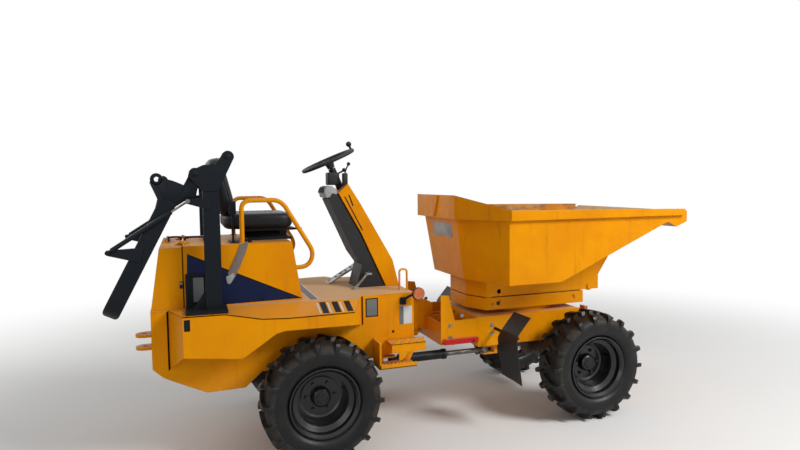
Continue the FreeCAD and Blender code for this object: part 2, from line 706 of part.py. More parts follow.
def make_front_chassis():
    """Front frame: pivot barrel, cross plate, side posts, box for the axle and the swivel."""
    half = FRONT_HALF_WIDTH
    pivot_x = rear(PIVOT_AHEAD)
    post = front(POST_X)
    box_rear = front(BOX_REAR)
    box_front = front(BOX_FRONT)
    bore = upright(pivot_x, 0, JAW_LOW_Z, JAW_HIGH_Z, PIVOT_PIN_R + PIN_FIT)
    barrel_low = JAW_LOW_Z + JAW_PLATE + 0.5
    barrel_high = JAW_HIGH_Z - 0.5
    barrel = upright(pivot_x, 0, barrel_low, barrel_high, BARREL_R)
    clear_x = pivot_x + 58 + WORKING_GAP
    neck = side_prism([(pivot_x, barrel_low + 8), (clear_x, barrel_low + 8), (post + 60, 560), (post + 60, 790),
                       (clear_x, barrel_high - 8), (pivot_x, barrel_high - 8)], -36, 36)
    cross = block(post, post + PLATE, -half, half, 556, 702)
    side_outline = [(post, 550), (post, 897), (post + 60, 890), (post + 104, 715), (box_rear, 716),
                    (box_rear, 550)]
    parts = [barrel, neck, cross]
    for y in (-half, half - PLATE):
        parts.append(side_prism(side_outline, y, y + PLATE))
    box_outline = [(box_rear, BOX_LOW_Z), (box_front, BOX_LOW_Z), (box_front, BOX_TOP_Z), (box_rear, BOX_TOP_Z)]
    box = side_prism(box_outline, -half, half)
    hollow = side_prism(inset(box_outline, PLATE), -half + PLATE, half - PLATE)
    parts.append(box.cut(hollow))
    for y in (-60, 52):
        parts.append(block(post + PLATE - 1, box_rear + 1, y, y + PLATE, 560, 700))
    floor = block(post, box_rear + 1, -half, half, 550, 558)
    parts.append(floor)
    steer_x = rear(STEER_HEAD_AHEAD)
    parts.append(make_steer_clevis(steer_x, 1, BOX_LOW_Z + 1))
    return fused(parts).cut(bore)


def make_slew_base():
    """Lower half of the swivel bearing, bolted to the front box."""
    ring = Part.makeCylinder(SLEW_R, SLEW_TOP_Z - BOX_TOP_Z, V(SLEW_X, 0, BOX_TOP_Z))
    return ring.cut(Part.makeCylinder(SLEW_R - 60, 200, V(SLEW_X, 0, BOX_TOP_Z - 50)))


def make_mudflaps():
    """Bent flaps behind the front tyres, each on an arm from the chassis."""
    inner = 462.0
    outer = 660.0
    top = (front(-541), 785)
    bend = (front(-654), 655)
    foot = (front(-616), 320)
    thick = 9.0
    outline = [top, bend, foot, (foot[0] + thick, foot[1]), (bend[0] + thick, bend[1] - 3), (top[0] + thick, top[1] - 3)]
    flap = side_prism(outline, inner, outer)
    arm = block(bend[0] + thick - 2, bend[0] + thick + 26, FRONT_HALF_WIDTH, outer - 20, bend[1] - 36, bend[1] - 10)
    return both_sides(fused([flap, arm]))


def make_lock_bar():
    """Red articulation lock bar, stowed along the front chassis."""
    x = front(POST_X + 19)
    y = -FRONT_HALF_WIDTH
    bar = block(x, x + 250, y - 30, y, 556, 592)
    pin = rod(V(x + 6, y - 16, 574), V(x - 12, y - 16, 574), 12)
    knob = rod(V(x + 225, y - 42, 574), V(x + 225, y - 28, 574), 11)
    return fused([bar, pin, knob])


def make_front_markers():
    """Marker lamps on stalks at the front chassis's corners."""
    x = front(BOX_FRONT)
    stalk = block(x - 2, x + 62, FRONT_HALF_WIDTH - 26, FRONT_HALF_WIDTH - 18, 694, 720)
    stalk = stalk.cut(block(x - 3, x, FRONT_HALF_WIDTH - 27, FRONT_HALF_WIDTH - 17, 690, 722))
    lamp = block(x + 40, x + 66, FRONT_HALF_WIDTH - 46, FRONT_HALF_WIDTH + 12, 690, 736)
    return both_sides(fused([stalk, lamp]))


def tapered_tail(x, half, low, top):
    """Rear cross member whose ends are cut back in plan."""
    outer = [(x + 60, -half), (x, -half), (x - TAIL_REACH, -TAIL_HALF_WIDTH), (x - TAIL_REACH, TAIL_HALF_WIDTH),
             (x, half), (x + 60, half)]
    inner = [(x + 61, -half + FRAME_RAIL), (x + 30, -half + FRAME_RAIL), (x - TAIL_REACH + 40, -TAIL_HALF_WIDTH + 10),
             (x - TAIL_REACH + 40, TAIL_HALF_WIDTH - 10), (x + 30, half - FRAME_RAIL), (x + 61, half - FRAME_RAIL)]
    return plan_prism(outer, low, top).cut(plan_prism(inner, low - 1, top + 1))


def make_swivel_frame():
    """Ladder frame on the upper bearing ring, with lugs and pins for the skip."""
    half = FRAME_HALF_WIDTH
    x0 = slew(-FRAME_REAR)
    x1 = slew(FRAME_FRONT)
    low, top = FRAME_LOW_Z, FRAME_TOP_Z
    parts = []
    hinge_x = slew(TIP_HINGE_AHEAD)
    lug_outer = half - FRAME_RAIL - WORKING_GAP
    lug_outline = [(x1 - 130, low + 4), (x1 - 10, low + 4), (x1, top - 8), (hinge_x + 24, TIP_HINGE_Z - 24),
                   (hinge_x - 20, TIP_HINGE_Z + 28), (x1 - 70, top + 20), (x1 - 130, top)]
    for side in (-1, 1):
        rail = block(x0, x1, half - FRAME_RAIL, half, low, top)
        for x, z in ((x0 + 100, low + 60), (x1 - 90, low + 44)):
            rail = rail.cut(across(x, z, half - 8, half + 1, 17))
        lug = side_prism(lug_outline, lug_outer - LUG_PLATE, lug_outer)
        lug = lug.fuse(across(hinge_x, TIP_HINGE_Z, lug_outer - LUG_PLATE, lug_outer, 34))
        pin = across(hinge_x, TIP_HINGE_Z, lug_outer - LUG_PLATE - 6, half + 8, TIP_PIN_R)
        pad = block(x0 + 6, x0 + 46, half - FRAME_RAIL + 6, half - 6, top - 1, RAIL_LOW_Z - SEAT_GAP)
        for piece in (rail, lug, pin, pad):
            parts.append(piece if side > 0 else mirrored(piece))
    parts.append(tapered_tail(x0, half, low, top))
    parts.append(block(x1 - 60, x1, -half + 1, half - 1, low, top))
    plate = Part.makeCylinder(SLEW_R - 4, 12, V(SLEW_X, 0, low))
    web = block(x0 + 1, x1 - 1, -half + 1, half - 1, low, low + 12)
    ring = Part.makeCylinder(SLEW_R - 20, low - SLEW_TOP_Z - SEAT_GAP + 1, V(SLEW_X, 0, SLEW_TOP_Z + SEAT_GAP))
    hole = Part.makeCylinder(SLEW_R - 80, 80, V(SLEW_X, 0, SLEW_TOP_Z - 10))
    parts.extend([plate, web, ring])
    foot_x = slew(TIP_FOOT_BACK)
    for y in (-TIP_CLEVIS_HALF - 12, TIP_CLEVIS_HALF):
        cheek = side_prism([(foot_x - 34, low + 10), (foot_x - 24, RAIL_LOW_Z - 3), (foot_x + 24, RAIL_LOW_Z - 3),
                            (foot_x + 36, low + 10)], y, y + 12)
        parts.append(cheek)
    parts.append(across(foot_x, TIP_FOOT_Z, -TIP_CLEVIS_HALF - 16, TIP_CLEVIS_HALF + 16, TIP_EYE_PIN_R))
    return fused(parts).cut(hole)


def floor_line():
    """Skip floor seen from the side: level, then up to the lip."""
    return [(slew(SKIP_BEND), SKIP_FLOOR_Z), (slew(SKIP_LIP), LIP_Z)]


def skip_ring(low, high, grow):
    """Loft of the skip's plan between two heights, grown outwards or inwards."""
    def plan(z):
        share = (z - SKIP_FLOOR_Z) / (RIM_LOW_Z - SKIP_FLOOR_Z)
        back = SKIP_BACK_LOW + (SKIP_BACK_HIGH - SKIP_BACK_LOW) * share
        narrow = BACK_HALF_LOW + (BACK_HALF_HIGH - BACK_HALF_LOW) * share
        half = SKIP_HALF_WIDTH
        points = [(slew(back), -narrow), (slew(SKIP_CORNER), -half), (slew(SKIP_LIP), -half),
                  (slew(SKIP_LIP), half), (slew(SKIP_CORNER), half), (slew(back), narrow)]
        points = inset(points, -grow)
        return Part.Wire(Part.makePolygon([V(x, y, z) for x, y in points + points[:1]]))
    return Part.makeLoft([plan(low), plan(high)], True, True)


def make_skip_tub():
    """Open skip: floor, lip, sides, chamfered back and a deep rim band."""
    wall = SKIP_WALL
    bend, lip = floor_line()
    outer = skip_ring(SKIP_FLOOR_Z, RIM_LOW_Z, 0)
    slope = (lip[1] - bend[1]) / (lip[0] - bend[0])
    drop = wall * math.sqrt(1 + slope * slope)
    reach = slew(SKIP_LIP + 50)
    below = [(bend[0], bend[1]), (reach, bend[1] + slope * (reach - bend[0])), (reach, SKIP_FLOOR_Z - 50),
             (bend[0], SKIP_FLOOR_Z - 50)]
    outer = outer.cut(side_prism(below, -800, 800))
    inner = skip_ring(SKIP_FLOOR_Z + wall, RIM_LOW_Z + 1, -wall)
    inner_below = [(bend[0] - 1, SKIP_FLOOR_Z + wall - 60), (bend[0] - 1, SKIP_FLOOR_Z + wall),
                   (bend[0], bend[1] + wall), (reach, bend[1] + drop + slope * (reach - bend[0])),
                   (reach, SKIP_FLOOR_Z + wall - 60)]
    inner = inner.cut(side_prism(inner_below, -800, 800))
    tub = outer.cut(inner)

    rim_top = RIM_BACK_Z + 10
    out_half = SKIP_HALF_WIDTH + RIM_PROUD
    back = slew(SKIP_BACK_HIGH - RIM_PROUD - 15)
    rim_plan = [(back, -BACK_HALF_HIGH - 52), (slew(SKIP_CORNER), -out_half), (slew(SKIP_LIP - 40), -out_half),
                (slew(SKIP_LIP - 40), out_half), (slew(SKIP_CORNER), out_half), (back, BACK_HALF_HIGH + 52)]
    in_half = SKIP_HALF_WIDTH - wall
    hole_plan = [(slew(SKIP_BACK_HIGH + wall), -BACK_HALF_HIGH + 2), (slew(SKIP_CORNER + 3), -in_half),
                 (slew(SKIP_LIP + 60), -in_half), (slew(SKIP_LIP + 60), in_half),
                 (slew(SKIP_CORNER + 3), in_half), (slew(SKIP_BACK_HIGH + wall), BACK_HALF_HIGH - 2)]
    rim = plan_prism(rim_plan, RIM_LOW_Z, rim_top).cut(plan_prism(hole_plan, RIM_LOW_Z - 1, rim_top + 1))
    above = [(slew(SKIP_LIP + 10), RIM_SIDE_FRONT_Z), (slew(SKIP_CORNER), RIM_SIDE_REAR_Z), (back, RIM_BACK_Z),
             (back - 50, RIM_BACK_Z), (back - 50, rim_top + 50), (slew(SKIP_LIP + 10), rim_top + 50)]
    rim = rim.cut(side_prism(above, -800, 800))
    lip_bar = side_prism([(lip[0] - 170, LIP_Z - 170 * slope - 1), (lip[0] - 96, LIP_Z - 112), (lip[0], LIP_Z - 76),
                          (lip[0], LIP_Z + 2), (lip[0] - 60, LIP_Z - 60 * slope + 3)],
                         -SKIP_HALF_WIDTH, SKIP_HALF_WIDTH)
    hook_x = back
    hook = face_of([V(hook_x + 1, -75, RIM_BACK_Z - 4), V(hook_x + 1, 75, RIM_BACK_Z - 4),
                    V(hook_x + 1, 12, RIM_LOW_Z + 8), V(hook_x + 1, -12, RIM_LOW_Z + 8)]).extrude(V(-13, 0, 0))
    return fused([tub, rim, lip_bar, hook])


def make_skip_underframe():
    """Rails up to the skip's floor, tapered tail, front brackets with hinge bosses, and the ram's lug."""
    half = FRAME_HALF_WIDTH
    inner = half - FRAME_RAIL
    bend, lip = floor_line()
    slope = (lip[1] - bend[1]) / (lip[0] - bend[0])
    x0 = slew(-FRAME_REAR)
    hinge_x = slew(TIP_HINGE_AHEAD)
    top_end = hinge_x + 285

    def floor_z(x):
        return bend[1] + slope * max(0.0, x - bend[0])

    rail_end = hinge_x + 84
    rail_outline = [(x0 + 1, RAIL_LOW_Z), (rail_end, RAIL_LOW_Z), (rail_end, floor_z(rail_end)), bend,
                    (x0 + 1, SKIP_FLOOR_Z)]
    bracket = [(rail_end - 60, RAIL_LOW_Z), (rail_end, RAIL_LOW_Z), (rail_end + 10, RAIL_LOW_Z + 66),
               (hinge_x + 222, RAIL_LOW_Z + 255), (top_end, floor_z(top_end)), (rail_end - 60, floor_z(rail_end - 60))]
    inside = inset(rail_outline, 10)
    pin_hole = across(hinge_x, TIP_HINGE_Z, inner - 5, half + 5, TIP_PIN_R + PIN_FIT)
    boss = across(hinge_x, TIP_HINGE_Z, inner, half, TIP_PIN_R + 14)
    rail = side_prism(rail_outline, inner, half)
    rail = rail.cut(side_prism(inside, inner - 1, half - 10))
    rail = rail.fuse(boss).cut(pin_hole)
    rail = rail.cut(across(x0 + 100, RAIL_LOW_Z + 34, half - 12, half + 1, 17))
    plate = side_prism(bracket, inner + 6, inner + 18)
    parts = [rail, mirrored(rail), plate, mirrored(plate)]
    parts.append(tapered_tail(x0, half, RAIL_LOW_Z, SKIP_FLOOR_Z))
    head_x = slew(TIP_HEAD_AHEAD)
    cross_x = head_x + 60
    for y0, y1 in ((-inner - 1, -TIP_CLEVIS_HALF), (TIP_CLEVIS_HALF, inner + 1)):
        parts.append(block(cross_x, cross_x + 12, y0, y1, RAIL_LOW_Z + 60, floor_z(cross_x)))
    for y in (-TIP_CLEVIS_HALF - 12, TIP_CLEVIS_HALF):
        cheek = side_prism([(head_x - 30, floor_z(head_x - 30)), (head_x - 26, TIP_HEAD_Z - 10),
                            (head_x, TIP_HEAD_Z - 30), (cross_x + 2, TIP_HEAD_Z - 17), (cross_x + 2, floor_z(cross_x))],
                           y, y + 12)
        parts.append(cheek)
    return fused(parts)


def make_ram(foot, head, turn, barrel_r, rod_r, barrel_length, eye_r, eye_half, stub_half, pin_r, closing):
    """Barrel with a bored eye at its foot, and rod with an eye and its own pin, turning about one direction.

    The rod starts far enough up the bore to slide back by the closing stroke.
    """
    run = (head - foot).normalize()
    neck_end = eye_r + RAM_NECK
    eye = Part.makeCylinder(eye_r, 2 * eye_half, foot - turn * eye_half, turn)
    neck = rod(foot, foot + run * (neck_end + 2), eye_half)
    body = rod(foot + run * neck_end, foot + run * barrel_length, barrel_r)
    collar = rod(foot + run * (barrel_length - 26), foot + run * barrel_length, barrel_r + 4)
    bore = rod(foot + run * (neck_end + 12), foot + run * (barrel_length + 1), rod_r + PIN_FIT)
    barrel = fused([eye, neck, body, collar]).cut(bore)
    hole = Part.makeCylinder(pin_r + PIN_FIT, 2 * eye_half + 2, foot - turn * (eye_half + 1), turn)
    shaft = rod(foot + run * (neck_end + 20 + closing), head, rod_r)
    head_eye = Part.makeCylinder(eye_r, 2 * eye_half, head - turn * eye_half, turn)
    stub = Part.makeCylinder(pin_r, 2 * stub_half, head - turn * stub_half, turn)
    return barrel.cut(hole), fused([shaft, head_eye, stub])


def make_tip_ram():
    """Tip cylinder between the swivel frame and the skip."""
    foot = V(slew(TIP_FOOT_BACK), 0, TIP_FOOT_Z)
    head = V(slew(TIP_HEAD_AHEAD), 0, TIP_HEAD_Z)
    stub = TIP_CLEVIS_HALF - SEAT_GAP
    return make_ram(foot, head, V(0, 1, 0), TIP_BARREL_R, TIP_ROD_R, TIP_BARREL_LENGTH, TIP_EYE_R, TIP_EYE_HALF,
                    stub, TIP_EYE_PIN_R, 0.0)


def make_steer_ram():
    """Steering cylinder low on the right, its pins upright."""
    foot = V(rear(STEER_FOOT_AHEAD), STEER_Y, STEER_Z)
    head = V(rear(STEER_HEAD_AHEAD), STEER_Y, STEER_Z)
    stub = STEER_CLEVIS_HALF - SEAT_GAP
    return make_ram(foot, head, V(0, 0, 1), STEER_BARREL_R, STEER_ROD_R, STEER_BARREL_LENGTH, STEER_EYE_R,
                    STEER_EYE_HALF, stub, STEER_PIN_R, STEER_CLOSING)


def make_console():
    """Folded console, open towards the seat."""
    half = CONSOLE_HALF_WIDTH
    outline = [(nose(-96), DECK_Z), (nose(-271), 1330), (nose(-423), 1600), (nose(-356), 1664), (nose(-272), 1530),
               (nose(0), DECK_Z)]
    hollow = [(nose(-116), DECK_Z - 1), (nose(-296), 1330), (nose(-451), 1600), (nose(-380), 1690),
              (nose(-280), 1526), (nose(-PLATE - 2), DECK_Z - 1)]
    return side_prism(outline, -half, half).cut(side_prism(hollow, -half + PLATE, half - PLATE))


def make_console_shroud():
    """Dark inner cover with the instrument head, behind the console."""
    half = CONSOLE_HALF_WIDTH - PLATE - 1.0
    outline = [(nose(-306), DECK_Z), (nose(-264), 1108), (nose(-321), 1190), (nose(-488), 1560), (nose(-460), 1600),
               (nose(-424), 1590), (nose(-276), 1320), (nose(-104), DECK_Z)]
    return side_prism(outline, -half, half)


def wheel_axis():
    """Direction of the steering column, upwards."""
    tilt = math.radians(WHEEL_TILT)
    return V(-math.sin(tilt), 0, math.cos(tilt))


def make_column():
    """Steering column with its bracket, spindle and small lever."""
    axis = wheel_axis()
    centre = V(rear(WHEEL_X), 0, WHEEL_Z)
    tube = rod(centre - axis * 330, centre - axis * 60, COLUMN_R)
    spindle = rod(centre - axis * 70, centre - axis * 12, 11)
    low = centre - axis * 300
    bracket = block(low.x - 22, low.x + 30, -CONSOLE_HALF_WIDTH + PLATE, CONSOLE_HALF_WIDTH - PLATE, low.z - 6,
                    low.z + 6)
    stem = centre - axis * 110
    lever = rod(stem, stem + V(62, 0, 34), 6)
    knob = Part.makeSphere(14, stem + V(66, 0, 38))
    return fused([tube, spindle, bracket, lever, knob])


def make_steering_wheel():
    """Ring, three spokes, hub and the spinner knob."""
    grip = WHEEL_GRIP_R
    ring = Part.makeTorus(WHEEL_R, grip)
    hub = Part.makeCone(24, 34, 46, V(0, 0, -56)).fuse(Part.makeCylinder(34, 12, V(0, 0, -10)))
    spokes = []
    for turn in (90, 210, 330):
        spoke = Part.makeBox(WHEEL_R - 20, 26, 8, V(20, -13, -10))
        spoke.rotate(V(0, 0, 0), V(0, 0, 1), turn)
        spokes.append(spoke)
    knob = Part.makeCylinder(8, 34, V(WHEEL_R, 0, 4)).fuse(Part.makeSphere(19, V(WHEEL_R, 0, 46)))
    wheel = fused([ring, hub] + spokes + [knob])
    wheel = wheel.cut(Part.makeCylinder(11 + SPINDLE_FIT, 60, V(0, 0, -70)))
    wheel.rotate(V(0, 0, 0), V(0, 1, 0), -WHEEL_TILT)
    wheel.translate(V(rear(WHEEL_X), 0, WHEEL_Z))
    return wheel


def make_pedals():
    """Slotted tread pedal on the left and a small rod pedal on the right."""
    run = nose(-220) - nose(-451)
    rise = 130.0
    heel = nose(-451)
    tread = side_prism([(heel, DECK_Z), (heel + 20, DECK_Z), (heel + run, DECK_Z + rise - 12),
                        (heel + run - 6, DECK_Z + rise)], 135, 235)
    for i in range(PEDAL_SLOTS):
        along = 0.3 + 0.16 * i
        x = heel + run * along
        z = DECK_Z + rise * along
        tread = tread.cut(block(x - 6, x + 6, 155, 215, z - 40, z + 40))
    prop = block(nose(-258), nose(-246), 175, 195, DECK_Z, DECK_Z + 112)
    rail = rod(V(nose(-326), -150, DECK_Z + 8), V(nose(-236), -150, DECK_Z + 102), 8)
    base = block(nose(-340), nose(-304), -172, -128, DECK_Z, DECK_Z + 14)
    pad = block(nose(-252), nose(-216), -180, -120, DECK_Z + 96, DECK_Z + 108)
    return Part.makeCompound([fused([tread, prop]), fused([rail, base, pad])])


def make_seat_base():
    """Suspension under the seat with its lever, and the control box on a stem."""
    low = block(rear(-372), rear(-96), -170, 170, COVER_TOP_Z, COVER_TOP_Z + 18)
    middle = block(rear(-340), rear(-120), -120, 120, COVER_TOP_Z + 17, SEAT_LOW_Z - 16)
    high = block(rear(-400), rear(-80), -180, 180, SEAT_LOW_Z - 17, SEAT_LOW_Z - SEAT_GAP)
    lever = rod(V(rear(-90), -150, SEAT_LOW_Z - 10), V(rear(-36), -196, SEAT_LOW_Z - 10), 7)
    stem = rod(V(rear(-470), -286, COVER_TOP_Z + 2), V(rear(-470), -286, 1490), 6)
    plate = block(rear(-490), rear(-360), -306, -150, COVER_TOP_Z, COVER_TOP_Z + 6)
    box = block(rear(-490), rear(-450), -312, -260, 1488, 1566)
    return fused([low, middle, high, lever, plate, stem, box])


def make_seat_cushion():
    """Seat cushion as a plain form."""
    outline = [(rear(SEAT_REAR), SEAT_LOW_Z), (rear(SEAT_FRONT), SEAT_LOW_Z), (rear(SEAT_FRONT) + 4, SEAT_TOP_Z - 20),
               (rear(SEAT_FRONT) - 30, SEAT_TOP_Z), (rear(SEAT_REAR), SEAT_TOP_Z)]
    return side_prism(outline, -SEAT_HALF_WIDTH, SEAT_HALF_WIDTH)


def make_seat_back():
    """Seat back as a plain form, leaning back."""
    low = SEAT_TOP_Z + SEAT_GAP
    outline = [(rear(-520), low), (rear(-420), low), (rear(-470), 1700), (rear(-530), 1842), (rear(-605), 1846),
               (rear(-645), 1700)]
    return side_prism(outline, -SEAT_HALF_WIDTH + 10, SEAT_HALF_WIDTH - 10)


def make_seat_belt():
    """Lap belt that hangs over the cover's right side, with its buckle."""
    y = -COVER_HALF_WIDTH - SEAT_GAP
    low = COVER_TOP_Z - 184
    strap = side_prism([(rear(-440), COVER_TOP_Z + 4), (rear(-384), COVER_TOP_Z + 4), (rear(-478), low),
                        (rear(-520), low + 12)], y - 4, y)
    fold = block(rear(-440), rear(-384), y - 4, -RAIL_Y - RAIL_TUBE_R - 1, COVER_TOP_Z + SEAT_GAP,
                 COVER_TOP_Z + 4)
    buckle = block(rear(-522), rear(-480), y - 12, y, low - 52, low + 14)
    return fused([strap, fold, buckle])


def make_grab_rails():
    """Bent side rails on the engine cover and the small loop at the deck's front."""
    y = RAIL_Y
    top = COVER_TOP_Z + RAIL_RISE
    low = COVER_TOP_Z - RAIL_DROP
    points = [V(rear(-408), y, COVER_TOP_Z), V(rear(-408), y, top - 4), V(rear(-196), y, top),
              V(rear(10), y, low + 86), V(rear(-26), y, low), V(rear(-102), y, low)]
    rail = bent_tube(points, 30, RAIL_TUBE_R)
    clip = side_prism([(rear(-72), DECK_Z), (rear(-128), COVER_TOP_Z), (rear(-400), COVER_TOP_Z),
                       (rear(-400), DECK_Z)], y - 30, y + 30)
    rail = rail.cut(clip)
    loop = bent_tube([V(nose(-66), -300, DECK_Z), V(nose(-66), -300, DECK_Z + 128), V(nose(-14), -300, DECK_Z + 128),
                      V(nose(-14), -300, DECK_Z)], 22, 7)
    return Part.makeCompound([rail, mirrored(rail), loop])


def make_steps():
    """Two serrated rungs each side, on end plates."""
    inner = REAR_HALF_WIDTH
    low_tread = block(nose(-284), nose(-34), inner, 545, 500, 508)
    low_lip = block(nose(-284), nose(-34), 537, 545, 500, 528)
    high_tread = block(nose(-194), nose(36), inner, 520, 640, 648)
    nose_lip = block(nose(-194), nose(36), 512, 520, 612, 648)
    back_plate = side_prism([(nose(-284), 500), (nose(-272), 500), (nose(-272), 668), (nose(-284), 676)], inner, 545)
    web = side_prism([(nose(-96), 500), (nose(-34), 500), (nose(44), 648), (nose(-194), 648), (nose(-194), 620),
                      (nose(-96), 600)], inner, inner + 8)
    teeth = []
    for x0, y, z in ((-276, 541, 528), (-186, 516, 648)):
        for i in range(STEP_TEETH):
            x = nose(x0 + i * 24)
            teeth.append(side_prism([(x, z - 1), (x + 16, z - 1), (x + 8, z + 9)], y - 4, y + 4))
    return both_sides(fused([low_tread, low_lip, high_tread, nose_lip, back_plate, web] + teeth))


def make_side_lamps():
    """Round lamps on arms at the platform's front corners."""
    y = REAR_HALF_WIDTH
    arm = rod(V(nose(-90), y + 8, 900), V(nose(-28), y + 62, 928), 9)
    foot = block(nose(-108), nose(-66), y, y + 10, 872, 920)
    lamp = rod(V(nose(-34), y + 74, 944), V(nose(-4), y + 74, 944), 30)
    return both_sides(fused([arm, foot, lamp]))


def build():
    """Makes every piece and returns them by name."""
    nodes = {}
    nodes["rear_chassis"] = make_rear_chassis()
    nodes["platform_deck"] = make_deck()
    nodes["engine_block"] = make_engine()
    nodes["engine_cover"] = make_engine_cover()
    nodes["rear_hood"] = make_rear_hood()
    nodes["rear_axle"] = make_axle(REAR_AXLE_X, 190, BELLY_Z, 300)
    nodes["roll_posts"] = make_posts()
    nodes["roll_hoop"] = make_hoop()
    nodes["strut_barrels"] = make_strut_barrels()
    nodes["strut_rods"] = make_strut_rods()
    nodes["pivot_jaw"] = make_pivot_jaw()
    nodes["console"] = make_console()
    nodes["console_shroud"] = make_console_shroud()
    nodes["steering_column"] = make_column()
    nodes["steering_wheel"] = make_steering_wheel()
    nodes["pedals"] = make_pedals()
    nodes["seat_base"] = make_seat_base()
    nodes["seat_cushion"] = make_seat_cushion()
    nodes["seat_back"] = make_seat_back()
    nodes["seat_belt"] = make_seat_belt()
    nodes["grab_rails"] = make_grab_rails()
    nodes["steps"] = make_steps()
    nodes["side_lamps"] = make_side_lamps()
    nodes["front_chassis"] = make_front_chassis()
    nodes["front_axle"] = make_axle(FRONT_AXLE_X, -190, BOX_LOW_Z, 250)
    nodes["slew_base"] = make_slew_base()
    nodes["mudflaps"] = make_mudflaps()
    nodes["lock_bar"] = make_lock_bar()
    nodes["front_markers"] = make_front_markers()
    nodes["swivel_frame"] = make_swivel_frame()
    nodes["skip_tub"] = make_skip_tub()
    nodes["skip_underframe"] = make_skip_underframe()
    nodes["tip_barrel"], nodes["tip_rod"] = make_tip_ram()
    nodes["steer_barrel"], nodes["steer_rod"] = make_steer_ram()
    tyre = make_tyre()
    rim = make_rim()
    for end, x in (("rear", REAR_AXLE_X), ("front", FRONT_AXLE_X)):
        for side, y in (("left", HALF_TRACK), ("right", -HALF_TRACK)):
            rubber = tyre if y > 0 else mirrored(tyre)
            steel = rim if y > 0 else mirrored(rim)
            nodes["tyre_%s_%s" % (end, side)] = moved(rubber, x, y, TYRE_R)
            nodes["rim_%s_%s" % (end, side)] = moved(steel, x, y, TYRE_R)
    return nodes


def main():
    """Builds the machine and writes one file a piece."""
    os.makedirs("parts", exist_ok=True)
    for name, shape in build().items():
        solids = len(shape.Solids)
        print("%-18s solids %d valid %s volume %.0f" % (name, solids, shape.isValid(), shape.Volume))
        shape.exportStep("parts/%s.step" % name)


main()
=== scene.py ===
"""Dresses the site dumper: a finish for every carried part, and modelled pieces where its look needs them.

Places are metres in the machine's own frame: +X forwards, +Y to the driver's left, +Z up, the ground at
z = 0. Outlines and lines are (x, z) places and profiles are (radius, height) points, unless a comment says
otherwise. Four numbers in a row are a rectangle's low and high x and its low and high z. A place that both
sides have is given for the left one.
"""

from __future__ import annotations

import logging
import math
from dataclasses import dataclass
from enum import Enum
from typing import Any, Sequence

import bmesh
import bpy
import numpy as np
from mathutils import Matrix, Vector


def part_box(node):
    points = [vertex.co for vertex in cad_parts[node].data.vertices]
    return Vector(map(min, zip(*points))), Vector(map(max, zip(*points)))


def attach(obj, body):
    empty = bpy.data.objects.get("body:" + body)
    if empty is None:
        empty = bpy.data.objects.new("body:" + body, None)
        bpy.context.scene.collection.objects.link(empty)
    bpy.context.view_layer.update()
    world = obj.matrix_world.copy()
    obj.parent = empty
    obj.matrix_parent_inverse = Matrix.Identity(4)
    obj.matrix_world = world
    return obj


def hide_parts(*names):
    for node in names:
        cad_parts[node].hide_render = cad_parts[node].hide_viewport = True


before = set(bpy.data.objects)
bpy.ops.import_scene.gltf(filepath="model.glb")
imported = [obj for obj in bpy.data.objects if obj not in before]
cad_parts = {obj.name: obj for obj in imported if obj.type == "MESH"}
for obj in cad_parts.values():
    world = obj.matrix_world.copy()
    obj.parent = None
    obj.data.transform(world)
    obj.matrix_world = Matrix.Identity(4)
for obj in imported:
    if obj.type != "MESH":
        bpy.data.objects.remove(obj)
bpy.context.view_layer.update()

LOG = logging.getLogger("dumper")
TURN = 2.0 * math.pi

Colour = tuple[float, float, float]
Point = tuple[float, float, float]
Flat = tuple[float, float]
Outline = tuple[Flat, ...]
AHEAD: Point = (1.0, 0.0, 0.0)
ACROSS: Point = (0.0, 1.0, 0.0)
UP: Point = (0.0, 0.0, 1.0)
WHITE_LIGHT: Colour = (1.0, 1.0, 1.0)


class Side(Enum):
    """The machine's two sides, each with the sign of its Y places."""

    LEFT = 1.0
    RIGHT = -1.0

    @property
    def word(self) -> str:
        """The side's name as the nodes spell it."""
        return self.name.lower()

    @property
    def out(self) -> Point:
        """The direction away from the machine's middle."""
        return (0.0, self.value, 0.0)

    def placed(self, x: float, y: float, z: float) -> Point:
        """A place that is given for the left, on this side."""
        return (x, self.value * y, z)


class End(Enum):
    """The machine's two axles, as the nodes spell them."""

    REAR = "rear"
    FRONT = "front"


class Signal:
    """One output of a material's graph, on which arithmetic adds Math nodes."""

    def __init__(self, graph: Graph, socket: bpy.types.NodeSocket) -> None:
        """Keeps the socket and the graph that it belongs to."""
        self.graph = graph
        self.socket = socket

    def math(self, operation: str, first: Any, second: Any) -> Signal:
        """A Math node on two values."""
        return self.graph.node("ShaderNodeMath", {"operation": operation}, {0: first, 1: second})

    def __add__(self, other: Signal | float) -> Signal:
        """The sum."""
        return self.math("ADD", self, other)

    def __radd__(self, other: float) -> Signal:
        """The sum, reflected."""
        return self.math("ADD", other, self)

    def __sub__(self, other: Signal | float) -> Signal:
        """The difference."""
        return self.math("SUBTRACT", self, other)

    def __rsub__(self, other: float) -> Signal:
        """The difference, reflected."""
        return self.math("SUBTRACT", other, self)

    def __mul__(self, other: Signal | float) -> Signal:
        """The product."""
        return self.math("MULTIPLY", self, other)

    def __rmul__(self, other: float) -> Signal:
        """The product, reflected."""
        return self.math("MULTIPLY", other, self)

    def __truediv__(self, other: Signal | float) -> Signal:
        """The quotient."""
        return self.math("DIVIDE", self, other)

    def __pow__(self, other: float) -> Signal:
        """The power."""
        return self.math("POWER", self, other)

    def size(self) -> Signal:
        """The value without its sign."""
        return self.math("ABSOLUTE", self, 0.0)

    def larger(self, other: Signal | float) -> Signal:
        """The larger of two values."""
        return self.math("MAXIMUM", self, other)


